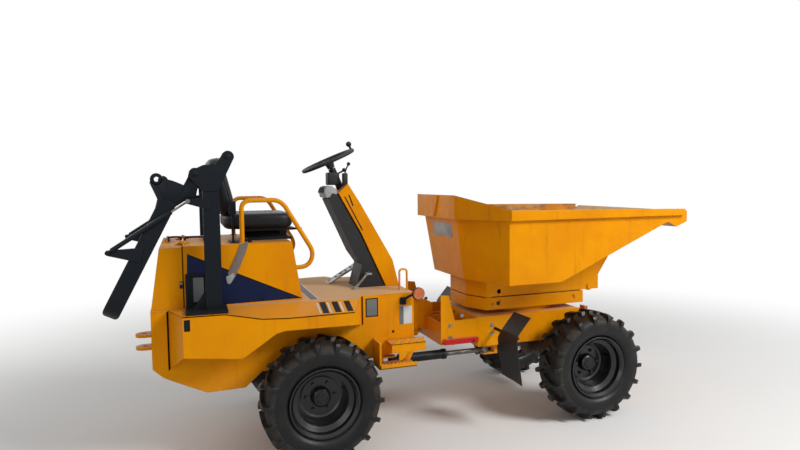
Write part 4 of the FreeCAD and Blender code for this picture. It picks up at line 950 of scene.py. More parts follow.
def bent_bar(line: Sequence[Flat], y: float, radius: float, cut: float, steps: int, count: int) -> Patch:
    """A round bar that is bent in one upright plane.

    Args:
        line: its corners, as (x, z) places.
        y: the plane's place.
        radius: of the bar.
        cut: how far from a corner its bend starts.
        steps: spans of one bend.
        count: points round the bar.

    Returns:
        The skin.
    """
    path = bent([(x, y, z) for x, z in line], cut, steps)
    return carried(ring(count, radius), path, ACROSS)


def collar(inner: float, outer: float, half: float, edge: float = 0.002) -> Patch:
    """A round eye with an open bore, about the z axis."""
    profile = [(inner, -half), (outer - edge, -half), (outer, edge - half), (outer, half - edge),
               (outer - edge, half), (inner, half)]
    return revolved(profile, 36, bored=True)


@dataclass(frozen=True)
class BoltHead:
    """A hexagon bolt's head on its washer."""

    # Half the head's width across its corners, of which the profiles are shares
    size: float = 0.011
    washer: Outline = ((0.0, 0.0), (1.45, 0.0), (1.5, 0.12), (1.45, 0.22), (0.0, 0.22))
    crown: Outline = ((0.0, 0.95), (0.78, 0.95), (0.72, 1.06), (0.0, 1.10))

    def patches(self, place: Point, along: Point) -> list[Patch]:
        """The bolt's skins.

        Args:
            place: the middle of the washer's foot.
            along: the way that the head points.

        Returns:
            Washer, head and crown.
        """
        size = self.size
        washer = revolved(np.array(self.washer) * size, 20)
        head = prism(ring(6, size, 15.0), size * 0.2, size, size * 0.10, 2)
        crown = revolved(np.array(self.crown) * size, 20)
        upper = UP if abs(along[2]) < 0.9 else AHEAD
        return Place(place, along, upper).put([washer, head, crown])


def make_piece(name: str, patches: Sequence[Patch], finish: Finish, body: str, replaced: Sequence[str] = (),
               marks: tuple[str, np.ndarray] | None = None, sharp: float = 35.0) -> bpy.types.Object:
    """Joins patches into one mesh piece, dresses it and lets it ride on a body.

    Args:
        name: the piece's name.
        patches: the skins that it is made of.
        finish: what its surface is.
        body: the body that it moves with.
        replaced: the carried nodes that it stands for.
        marks: an attribute's name and its value at each point.
        sharp: the angle between faces, in degrees, past which an edge stays sharp.

    Returns:
        The piece.
    """
    mesh = bpy.data.meshes.new(name)
    places = np.concatenate([p.points.reshape(-1, 3) for p in patches])
    starts = np.cumsum([0] + [p.points.shape[0] * p.points.shape[1] for p in patches])
    faces = [p.faces(start) for p, start in zip(patches, starts)]
    corners = np.concatenate([f[0] for f in faces])
    counts = np.concatenate([f[1] for f in faces])
    mesh.vertices.add(len(places))
    mesh.vertices.foreach_set("co", places.astype(np.float32).ravel())
    mesh.loops.add(len(corners))
    mesh.loops.foreach_set("vertex_index", corners.astype(np.int32))
    mesh.polygons.add(len(counts))
    mesh.polygons.foreach_set("loop_start", np.concatenate([[0], np.cumsum(counts)[:-1]]).astype(np.int32))
    mesh.update(calc_edges=True)
    if marks is not None:
        layer = mesh.attributes.new(marks[0], "FLOAT", "POINT")
        layer.data.foreach_set("value", marks[1].astype(np.float32).ravel())
    shell = bmesh.new()
    shell.from_mesh(mesh)
    bmesh.ops.remove_doubles(shell, verts=shell.verts, dist=1e-6)
    bmesh.ops.recalc_face_normals(shell, faces=shell.faces)
    shell.to_mesh(mesh)
    shell.free()
    mesh.shade_smooth()
    mesh.set_sharp_from_angle(angle=math.radians(sharp))
    piece = bpy.data.objects.new(name, mesh)
    bpy.context.scene.collection.objects.link(piece)
    mesh.materials.append(finish.material())
    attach(piece, body)
    if replaced:
        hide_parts(*replaced)
    LOG.info("%s: %d faces, rides on %s", name, len(mesh.polygons), body)
    return piece


@dataclass(frozen=True)
class Viewpoint:
    """The photograph's camera, placed in the machine's frame."""

    place: Point = (-1.482, -4.063, 1.665)
    heading: float = 19.5
    dip: float = 4.0
    roll: float = 0.63
    focal_pixels: float = 602.0
    frame_pixels: float = 800.0
    sensor: float = 36.0

    def build(self) -> None:
        """Makes the camera: heading from +Y towards +X, then dip below the horizon, then roll."""
        heading, dip, roll = (math.radians(v) for v in (self.heading, self.dip, self.roll))
        level = math.cos(dip)
        forward = np.array([math.sin(heading) * level, math.cos(heading) * level, -math.sin(dip)])
        right = np.array([math.cos(heading), -math.sin(heading), 0.0])
        up = np.cross(right, forward)
        turned_right = right * math.cos(roll) - up * math.sin(roll)
        turned_up = right * math.sin(roll) + up * math.cos(roll)
        lens = bpy.data.cameras.new("photo_camera")
        lens.sensor_width = self.sensor
        lens.lens = self.focal_pixels / self.frame_pixels * self.sensor
        camera = bpy.data.objects.new("photo_camera", lens)
        matrix = np.eye(4)
        matrix[:3] = np.stack([turned_right, turned_up, -forward, np.array(self.place)], -1)
        camera.matrix_world = Matrix(matrix.tolist())
        bpy.context.scene.collection.objects.link(camera)
        bpy.context.scene.camera = camera


@dataclass(frozen=True)
class Studio:
    """Plain pale floor that fades to white far off, a soft sky and three soft lamps."""

    # The light's strength from all round, and what the camera, gloss and glass see of it
    sky: float = 0.32
    shown: float = 1.0
    floor_size: float = 60.0
    floor_colour: Colour = (0.80, 0.80, 0.79)
    fade: Flat = (2.6, 6.5)
    aim: Point = (0.1, 0.0, 0.9)
    # Place, width and power
    lamps: tuple[tuple[Point, float, float], ...] = (
        ((4.0, -4.5, 4.8), 2.4, 395.0),
        ((-5.0, 3.8, 4.5), 4.0, 120.0),
        ((-4.2, -5.5, 2.6), 4.0, 45.0),
    )

    def light_sky(self) -> None:
        """Makes a white world that is brighter where it is seen than as a light."""
        world = bpy.data.worlds.new("sky")
        world.use_nodes = True
        graph = Graph(world.node_tree)
        seen = graph.node("ShaderNodeLightPath", output="Is Camera Ray")
        for ray in ("Is Glossy Ray", "Is Transmission Ray"):
            seen = seen.larger(graph.node("ShaderNodeLightPath", output=ray))
        strength = self.sky + seen * (self.shown - self.sky)
        light = graph.node("ShaderNodeBackground", {}, {"Color": WHITE_LIGHT, "Strength": strength})
        graph.node("ShaderNodeOutputWorld", {}, {"Surface": light})
        bpy.context.scene.world = world

    def hang_lamp(self, name: str, place: Point, size: float, power: float) -> None:
        """Makes one round lamp.

        Args:
            name: the lamp's name.
            place: where it hangs.
            size: its width.
            power: its power in watts.
        """
        lamp = bpy.data.lights.new(name, "AREA")
        lamp.shape = "DISK"
        lamp.size = size
        lamp.energy = power
        holder = bpy.data.objects.new(name, lamp)
        holder.location = place
        away = np.array(place) - np.array(self.aim)
        flat = math.hypot(away[0], away[1])
        holder.rotation_euler = (math.atan2(flat, away[2]), 0.0, math.atan2(away[0], -away[1]))
        bpy.context.scene.collection.objects.link(holder)

    def lay_floor(self) -> None:
        """Makes the floor, matt near the machine and glowing white far off."""
        half = self.floor_size / 2.0
        mesh = bpy.data.meshes.new("floor")
        mesh.from_pydata([(x, y, 0.0) for x, y in rectangle(-half, half, -half, half)], [], [(0, 1, 2, 3)])
        floor = bpy.data.objects.new("floor", mesh)
        bpy.context.scene.collection.objects.link(floor)
        material = bpy.data.materials.new("floor")
        material.use_nodes = True
        graph = Graph(material.node_tree)
        tone = graph.mix(graph.noise(0.8), self.floor_colour, tuple(0.985 * part for part in self.floor_colour))
        far = graph.node("ShaderNodeVectorMath", {"operation": "LENGTH"}, {0: graph.place()}, "Value")
        fade = graph.smooth(far, *self.fade) * graph.node("ShaderNodeLightPath", output="Is Camera Ray")
        glow = graph.node("ShaderNodeEmission", {}, {"Color": WHITE_LIGHT, "Strength": 1.0})
        ground = graph.shade(Base_Color=tone, Roughness=0.9, Specular_IOR_Level=0.2)
        graph.finish(graph.node("ShaderNodeMixShader", {}, {0: fade, 1: ground, 2: glow}))
        mesh.materials.append(material)

    def build(self) -> None:
        """Makes the world, the lamps and the floor, and sets the view transform."""
        self.light_sky()
        for number, (place, size, power) in enumerate(self.lamps):
            self.hang_lamp(f"soft_lamp_{number}", place, size, power)
        self.lay_floor()
        bpy.context.scene.view_settings.view_transform = "Standard"


@dataclass(frozen=True)
class Tyre:
    """Tractor tyre with two rows of swept lugs, each row half a pitch behind the other.

    The skin is a closed section of (radius, y) rows carried round the axle. Each row has a bare radius and
    a lug's radius, and each column says whether it lies on a lug, on a lug's wall or in a groove.

    Attributes:
        radius: of the crown, over which the lugs' sweep is turned into an angle.
        cells: grooves and lugs round the tyre, counted over both rows.
        sweep: how far back a lug runs, as (distance from the middle, run) pairs.
        nose_wall: the y's between which a lug's inner end falls to the groove.
        offsets: a cell's columns, in degrees from its middle.
        lug_half: half a lug's width in degrees, at its top and at its foot.
        stations: from crown to bead, the bare radius and y, and the lug's radius and y.
        refine: rows for one stretch between stations.
        ribs: radius and width of the fine ribs round the wall.
        rib_height: how far those stand out.
        bare_mark: the lug attribute of the plain walls.
    """

    radius: float = 0.374
    cells: int = 36
    sweep: Outline = ((0.0, 0.084), (0.055, 0.0386), (0.138, 0.0165))
    nose_wall: Flat = (-0.014, -0.009)
    offsets: tuple[float, ...] = (-5.0, -3.9, -2.83, -2.5, -2.07, -1.0, 0.0, 1.0, 2.07, 2.5, 2.83, 3.9)
    lug_half: Flat = (2.07, 2.83)
    stations: tuple[tuple[float, float, float, float], ...] = (
        (0.348, 0.000, 0.374, 0.000),
        (0.3475, 0.040, 0.3738, 0.036),
        (0.344, 0.095, 0.372, 0.087),
        (0.336, 0.110, 0.369, 0.104),
        (0.322, 0.125, 0.362, 0.122),
        (0.316, 0.1275, 0.346, 0.1305),
        (0.309, 0.129, 0.331, 0.133),
        (0.303, 0.1300, 0.312, 0.1325),
        (0.299, 0.1305, 0.2995, 0.1307),
        (0.282, 0.132, 0.282, 0.132),
        (0.262, 0.1315, 0.262, 0.1315),
        (0.244, 0.128, 0.244, 0.128),
        (0.228, 0.118, 0.228, 0.118),
        (0.218, 0.106, 0.218, 0.106),
        (0.212, 0.103, 0.212, 0.103),
        (0.199, 0.102, 0.199, 0.102),
    )
    refine: int = 3
    ribs: Outline = ((0.290, 0.0022), (0.236, 0.003))
    rib_height: float = 0.0012
    bare_mark: float = 0.45

    def section(self) -> np.ndarray:
        """The section's rows, where a rib at radius q with width w adds h exp(-((r - q) / w)²) to y.

        Returns:
            Rows of (bare radius, bare y, lug radius, lug y) from the right bead over the crown to the left one.
        """
        table = np.array(self.stations)
        at = np.arange(len(table))
        fine = np.linspace(0, len(table) - 1, (len(table) - 1) * self.refine + 1)
        half = np.stack([np.interp(fine, at, column) for column in table.T], -1)
        bulge = sum(np.exp(-((half[:, 0] - radius) / width) ** 2) for radius, width in self.ribs)
        half[:, (1, 3)] += (self.rib_height * bulge)[:, None]
        other = half[:0:-1] * np.array([1.0, -1.0, 1.0, -1.0])
        return np.concatenate([other, half])

    def lug_mask(self, rows: np.ndarray) -> np.ndarray:
        """Where the lugs are: even cells carry the left row's lugs and odd cells the right row's.

        Args:
            rows: the section.

        Returns:
            A share from 0 to 1 for each row and column, which is 1 on a lug.
        """
        offsets = np.tile(np.array(self.offsets), self.cells)
        cell = np.repeat(np.arange(self.cells), len(self.offsets))
        top, foot = self.lug_half
        on_lug = np.clip((foot - np.abs(offsets)) / (foot - top), 0.0, 1.0)
        start, end = self.nose_wall
        mask = 0.0
        for parity, sign in ((0, 1.0), (1, -1.0)):
            reach = np.clip((sign * rows[:, 1] - start) / (end - start), 0.0, 1.0)
            mask = mask + np.outer(reach, on_lug * (cell % 2 == parity))
        return np.clip(mask, 0.0, 1.0)

    def build(self, end: End, side: Side) -> None:
        """Makes the tyre of one wheel.

        The point at row i and column j is (R cos t, y, R sin t) about the wheel's centre, where R and y are
        mixed from bare and lug by the mask, and t is the column's angle less the sweep over the radius.

        Args:
            end: the end of the machine.
            side: the side of the machine.
        """
        place = f"{end.value}_{side.word}"
        low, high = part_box(f"tyre_{place}")
        centre = (np.array(low) + np.array(high)) / 2.0
        rows = self.section()
        mask = self.lug_mask(rows)
        middles = np.arange(self.cells)[:, None] * 360.0 / self.cells
        angle = np.radians(middles + np.array(self.offsets)[None]).reshape(-1)
        radius = rows[:, 0, None] + mask * (rows[:, 2] - rows[:, 0])[:, None]
        across = rows[:, 1, None] + mask * (rows[:, 3] - rows[:, 1])[:, None]
        sweep_at, sweep_by = np.array(self.sweep).T
        turned = angle[None] - np.interp(np.abs(across), sweep_at, sweep_by) / self.radius
        points = np.stack([radius * np.cos(turned), across * side.value, radius * np.sin(turned)], -1) + centre
        lugged = (rows[:, 2] - rows[:, 0])[:, None] > 0.002
        marks = mask * lugged + self.bare_mark * (1 - lugged)
        skin = Patch(points, ring_rows=True)
        make_piece(f"rubber_{place}", [skin], RUBBER, f"wheel_{place}", [f"tyre_{place}"], ("lug", marks), 40.0)


@dataclass(frozen=True)
class WheelFittings:
    """Valve stem and hub cap of a wheel, with their places from the rim's centre."""

    stem: Outline = ((0.0, 0.0), (0.006, 0.0), (0.005, 0.012), (0.004, 0.030), (0.0045, 0.032), (0.0045, 0.040),
                     (0.0, 0.041))
    stem_place: Point = (0.142, -0.030, 0.03)
    cap: Outline = ((0.0, 0.0), (0.040, 0.0), (0.040, 0.003), (0.034, 0.006), (0.0, 0.007))
    cap_place: Point = (0.0, 0.012, 0.0)

    def build(self, end: End, side: Side) -> None:
        """Makes the fittings of one wheel.

        Args:
            end: the end of the machine.
            side: the side of the machine.
        """
        place = f"{end.value}_{side.word}"
        low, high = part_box(f"rim_{place}")
        centre = (np.array(low) + np.array(high)) / 2.0
        patches = []
        for profile, spot, count in ((self.stem, self.stem_place, 14), (self.cap, self.cap_place, 28)):
            origin = centre + np.array(spot) * (1.0, side.value, 1.0)
            patches += Place(tuple(origin), side.out, UP).put([revolved(profile, count)])
        make_piece(f"valve_{place}", patches, BLACK, f"wheel_{place}")


@dataclass(frozen=True)
class Pad:
    """A padded cushion in its own axes, with z towards whoever sits on it, and a cord sewn round it.

    At a share s of the way from the middle to the rim, the upper skin lies at
    high - puff - dip (1 - s²) + puff (1 - s⁶). Below it the rims are quarter circles.
    """

    half_x: float
    half_y: float
    low: float
    high: float
    corner: float
    edge: float
    dip: float
    cord_z: float
    puff: float = 0.010
    cord_inset: float = 0.004
    cord_radius: float = 0.0038

    def plan(self, inset: float = 0.0) -> np.ndarray:
        """The rounded plan, drawn in by an inset."""
        half_x, half_y = self.half_x - inset, self.half_y - inset
        return rounded_outline(rectangle(-half_x, half_x, -half_y, half_y), self.corner, 9)

    def skin(self) -> Patch:
        """The pad's walls and its crowned upper side."""
        outline = self.plan()
        rim = shrunk(outline, self.edge)
        rows = []
        for share in np.linspace(1.0, 0.0, 10):
            sink = self.dip * (1.0 - share ** 2) - self.puff * (1.0 - share ** 6)
            rows.append(np.column_stack([rim * share, np.full(len(rim), self.high - self.puff - sink)]))
        walls = prism(outline, self.low, self.high - self.puff, self.edge, 6).points[:-1]
        return Patch(np.concatenate([walls, np.stack(rows)]))

    def cord(self) -> Patch:
        """The cord along the pad's seam."""
        outline = self.plan(self.cord_inset)
        path = np.column_stack([outline, np.full(len(outline), self.cord_z)])
        return carried(ring(8, self.cord_radius), path, UP, ring_path=True)


@dataclass(frozen=True)
class OperatorSeat:
    """The operator's place: a cushion, a leaning back and the bellows under them."""

    cushion: Pad = Pad(0.216, 0.235, 1.388, 1.494, corner=0.10, edge=0.034, dip=0.014, cord_z=1.454)
    cushion_x: float = -1.056
    back: Pad = Pad(0.225, 0.186, -0.0588, 0.049, corner=0.11, edge=0.040, dip=0.012, cord_z=0.01764)
    back_foot: Point = (-1.222, 0.0, 1.470)
    back_lean: float = 14.0
    folds: int = 13
    fold_pitch: float = 0.0041
    fold_out: float = 0.010
    bellows_x: float = -1.03
    bellows_low: float = 1.326
    bellows_half: Flat = (0.110, 0.135)
    bellows_corner: float = 0.03

    def bellows(self) -> Patch:
        """Rounded rows, of which each second one stands out.

        Returns:
            The bellows' skin.
        """
        rows = []
        for number in range(self.folds):
            half_x, half_y = (half + self.fold_out * (number % 2) for half in self.bellows_half)
            outline = rounded_outline(rectangle(-half_x, half_x, -half_y, half_y), self.bellows_corner)
            height = self.bellows_low + number * self.fold_pitch
            shifted = outline + np.array([self.bellows_x, 0.0])
            rows.append(np.column_stack([shifted, np.full(len(outline), height)]))
        return Patch(np.stack(rows), capped=True)

    def build(self) -> None:
        """Makes the cushion, the back and the bellows."""
        flat = Place((self.cushion_x, 0.0, 0.0))
        make_piece("seat_pad", flat.put([self.cushion.skin(), self.cushion.cord()]), SEAT_HIDE, "root",
                   ["seat_cushion"], sharp=60.0)
        lean = math.radians(self.back_lean)
        up = (-math.sin(lean), 0.0, math.cos(lean))
        facing = (math.cos(lean), 0.0, math.sin(lean))
        middle = np.array(self.back_foot) + np.array(up) * self.back.half_y
        upright = Place(tuple(middle), facing, up)
        make_piece("seat_back_pad", upright.put([self.back.skin(), self.back.cord()]), SEAT_HIDE, "root",
                   ["seat_back"], sharp=60.0)
        make_piece("seat_bellows", [self.bellows()], FLAP, "root", sharp=20.0)


@dataclass(frozen=True)
class MarkerLamps:
    """Marker lamps at the platform's front corners: a foot, a bent arm, a cup and a domed lens each."""

    middle: Flat = (-0.092, 0.950)
    out: float = 0.484
    cup: Outline = ((0.0, -0.036), (0.022, -0.036), (0.038, -0.024), (0.0425, -0.010), (0.0425, -0.002),
                    (0.039, 0.0), (0.0, 0.0))
    lens: Outline = ((0.0, -0.001), (0.0385, -0.001), (0.0385, 0.003), (0.034, 0.009), (0.022, 0.0125),
                     (0.010, 0.0140), (0.0, 0.0142))
    arm: tuple[Point, ...] = ((-0.173, 0.404, 0.900), (-0.143, 0.425, 0.925), (-0.112, 0.445, 0.945),
                              (-0.092, 0.450, 0.950))
    arm_radius: float = 0.0085
    foot: tuple[float, float, float, float] = (-0.193, -0.151, 0.872, 0.920)
    wall: float = 0.4002
    foot_thick: float = 0.009
    bolts: tuple[Point, ...] = ((-0.172, 0.409, 0.884), (-0.172, 0.409, 0.908))

    def build(self) -> None:
        """Makes both lamps: all that is black in one piece and the lenses in another."""
        dark = []
        lenses = []
        for side in Side:
            place = Place(side.placed(self.middle[0], self.out, self.middle[1]), side.out, UP)
            dark += place.put([revolved(self.cup)])
            lenses += place.put([revolved(self.lens)])
            dark.append(tube([side.placed(*spot) for spot in self.arm], self.arm_radius))
            foot = rounded_outline(rectangle(*self.foot), 0.008)
            dark.append(side_plate(foot, side, self.wall, self.foot_thick, 0.001))
            for spot in self.bolts:
                dark += BoltHead(0.007).patches(side.placed(*spot), side.out)
        make_piece("lamp_arms", dark, BLACK, "root", ["side_lamps"])
        make_piece("lamp_lenses", lenses, AMBER_LENS, "root")


@dataclass(frozen=True)
class Controls:
    """Instrument head, dials, the column's housings and the travel lever."""

    head: Outline = ((-0.6120, 1.612), (-0.604, 1.640), (-0.580, 1.653), (-0.548, 1.646), (-0.520, 1.606),
                     (-0.530, 1.578), (-0.600, 1.568))
    head_half: float = 0.100
    dial: Outline = ((0.0, 0.0), (0.021, 0.0), (0.023, 0.003), (0.021, 0.006), (0.018, 0.006), (0.018, 0.002),
                     (0.0, 0.002))
    dial_middle: Flat = (-0.6085, 1.622)
    dial_facing: Point = (-0.92, 0.0, 0.39)
    dial_pitch: float = 0.055
    housings: tuple[tuple[Point, Point, float], ...] = (
        ((-0.572, -0.046, 1.655), (-0.492, 0.046, 1.742), 0.012),
        ((-0.478, -0.078, 1.652), (-0.442, -0.046, 1.736), 0.008),
    )
    lever: tuple[Point, ...] = ((-0.46, -0.062, 1.73), (-0.452, -0.070, 1.765), (-0.440, -0.080, 1.79))
    lever_radius: float = 0.005
    knob: Outline = ((0.0, -0.013), (0.009, -0.010), (0.013, 0.0), (0.009, 0.010), (0.0, 0.013))
    knob_place: Point = (-0.438, -0.082, 1.797)

    def build(self) -> None:
        """Makes the head, its three dials and the housings."""
        outline = rounded_outline(self.head, 0.012)
        head = across_prism(outline, -self.head_half, self.head_half, 0.006, 3)
        make_piece("instrument_head", [head], PALE_PLASTIC, "root")
        dials = []
        for number in (-1, 0, 1):
            spot = (self.dial_middle[0], number * self.dial_pitch, self.dial_middle[1])
            dials += Place(spot, self.dial_facing, UP).put([revolved(self.dial, 28)])
        make_piece("dials", dials, PLASTIC, "root")
        black = [box_patch(low, high, edge) for low, high, edge in self.housings]
        black.append(tube(self.lever, self.lever_radius))
        black += Place(self.knob_place).put([revolved(self.knob, 20)])
        make_piece("column_housings", black, PLASTIC, "root")


@dataclass(frozen=True)
class HoodFittings:
    """The rear hood's handle and latches, and two wire loops, one on the hood and one on the cover."""

    grip: tuple[Point, ...] = ((-1.606, -0.052, 1.320), (-1.606, 0.09, 1.320), (-1.606, 0.232, 1.320))
    grip_radius: float = 0.0095
    hood_loop: tuple[Point, ...] = ((-1.598, 0.060, 1.305), (-1.597, 0.058, 1.334), (-1.560, 0.042, 1.336),
                                    (-1.524, 0.024, 1.336), (-1.523, 0.023, 1.308))
    cover_loop: tuple[Point, ...] = ((-1.500, 0.012, 1.305), (-1.499, 0.012, 1.334), (-1.440, -0.018, 1.336),
                                     (-1.386, -0.044, 1.336), (-1.385, -0.045, 1.305))
    loop_radius: float = 0.006
    latch: tuple[float, float, float, float] = (-1.535, -1.519, 1.070, 1.110)
    latch_y: float = 0.3882
    latch_thick: float = 0.010
    key: Point = (-1.527, 0.3982, 1.100)

    def build(self) -> None:
        """Makes the cover's loop, and the hood's handle, loop and latches."""
        black = [tube(self.grip, self.grip_radius, UP)]
        keys = []
        for side in Side:
            plate = rounded_outline(rectangle(*self.latch), 0.004)
            black.append(side_plate(plate, side, self.latch_y, self.latch_thick, 0.002))
            keys += BoltHead(0.005).patches(side.placed(*self.key), side.out)
        black.append(tube(self.hood_loop, self.loop_radius))
        make_piece("cover_bar", [tube(self.cover_loop, self.loop_radius)], BLACK, "root")
        make_piece("hood_handle", black, BLACK, "hood")
        make_piece("hood_latches", keys, PALE_PLASTIC, "hood")


@dataclass(frozen=True)
class RollHoop:
    """Folding half of the roll bar, as it hangs when folded.

    Along its legs, places are measured from the hinge: the middle line lies set_off beside the hinge, and
    past its round end the section narrows to s = sqrt(depth² - t²), where t is how far past it a point is.
    """

    hinge: Flat = (-1.433, 1.728)
    angle: float = 242.7
    set_off: float = 0.058
    start: float = 0.200
    end: float = 0.891
    round_back: float = 0.012
    depth: float = 0.045
    width: float = 0.030
    section_points: int = 72
    leg_y: float = 0.500
    corner: float = 0.110
    ear: Flat = (-1.6330, 1.6999)
    # Bore, outer radius and half width of the hinge's eye and of the ear's
    eyes: tuple[Point, Point] = ((0.0145, 0.028, 0.030), (0.0135, 0.033, 0.020))
    web_half: float = 0.020
    web_radius: float = 0.024
    # The web's points: offsets from the hinge, from the ear, (along, out) on the leg, and from the hinge again
    above_hinge: Outline = ((-0.062, -0.062), (-0.114, -0.038))
    from_ear: Outline = ((0.034, 0.006), (-0.036, -0.018))
    on_leg: Outline = ((0.213, -0.056), (0.290, -0.039), (0.290, 0.039), (0.213, 0.044))
    below_hinge: Outline = ((-0.046, -0.144), (0.001, -0.131), (0.024, -0.030))
    strut_head: Flat = (-1.885, 1.311)
    bracket: float = 0.518
    plate_gap: float = 0.029
    plate_thick: float = 0.0165

    def spot(self, along: float, out: float) -> Flat:
        """A leg's place.

        Args:
            along: how far along it from the hinge.
            out: how far out from its middle line.

        Returns:
            Its x and z.
        """
        run = math.radians(self.angle)
        beside = out - self.set_off
        return (self.hinge[0] + math.cos(run) * along - math.sin(run) * beside,
                self.hinge[1] + math.sin(run) * along + math.cos(run) * beside)

    def bar(self) -> Patch:
        """Both legs and the cross bar in one.

        Returns:
            The bar's skin, whose outer end is drawn in to a half circle.
        """
        run = math.radians(self.angle)
        ahead = np.array([math.cos(run), 0.0, math.sin(run)])
        beside = np.array([-math.sin(run), 0.0, math.cos(run)])
        base, tip = self.spot(self.start, 0.0), self.spot(self.end, 0.0)
        corners = [(x, y, z) for (x, z), y in ((base, -self.leg_y), (tip, -self.leg_y), (tip, self.leg_y),
                                               (base, self.leg_y))]
        outline = rounded_outline(rectangle(-self.width, self.width, -self.depth, self.depth), 0.006, 3)
        closed = np.concatenate([outline, outline[:1]])
        length = np.concatenate([[0.0], np.cumsum(np.linalg.norm(np.diff(closed, axis=0), axis=1))])
        even = np.linspace(0.0, length[-1], self.section_points, endpoint=False)
        section = np.stack([np.interp(even, length, column) for column in closed.T], -1)
        points = carried(section, bent(corners, self.corner, 14), tuple(beside)).points
        middle = np.array([tip[0], 0.0, tip[1]]) - ahead * self.round_back
        past = np.maximum((points - middle) @ ahead, 0.0)
        aside = (points - middle) @ beside
        limit = np.sqrt(np.maximum(self.depth ** 2 - past ** 2, 0.0))
        points = points + (np.clip(aside, -limit, limit) - aside)[..., None] * beside
        return Patch(points, capped=True)

    def web(self) -> list[Flat]:
        """The knuckle's plate, from the hinge over the ear to the leg and back.

        Returns:
            Its outline.
        """
        by_hinge = [[(self.hinge[0] + x, self.hinge[1] + z) for x, z in offsets]
                    for offsets in (self.above_hinge, self.below_hinge)]
        by_ear = [(self.ear[0] + x, self.ear[1] + z) for x, z in self.from_ear]
        by_leg = [self.spot(along, out) for along, out in self.on_leg]
        round_hinge = arc(self.hinge, self.web_radius, -50.0, -245.0)
        round_ear = arc(self.ear, self.web_radius, 10.0, -190.0)
        return [*round_hinge, *by_hinge[0], by_ear[0], *round_ear, by_ear[1], *by_leg, *by_hinge[1]]

    def strut_plate(self) -> np.ndarray:
        """Outline of the plate from the leg to the gas strut's pin."""
        (x, z), (head_x, head_z) = self.spot(self.bracket, 0.0), self.strut_head
        corners = [(head_x - 0.012, head_z + 0.012), (x + 0.010, z + 0.036), (x - 0.006, z - 0.046),
                   (head_x - 0.008, head_z - 0.016)]
        return rounded_outline(corners, 0.008, 3)

    def build(self) -> None:
        """Makes the hoop with its webs, eyes and strut plates."""
        patches = [self.bar()]
        for side in Side:
            y = side.value * self.leg_y
            patches.append(across_prism(self.web(), y - self.web_half, y + self.web_half))
            for (x, z), eye in zip((self.hinge, self.ear), self.eyes):
                patches += Place((x, y, z), ACROSS, UP).put([collar(*eye)])
            gap = self.leg_y + self.plate_gap
            patches.append(side_plate(self.strut_plate(), side, gap, self.plate_thick, 0.001))
        make_piece("hoop", patches, BLACK, "roll_bar", ["roll_hoop"])


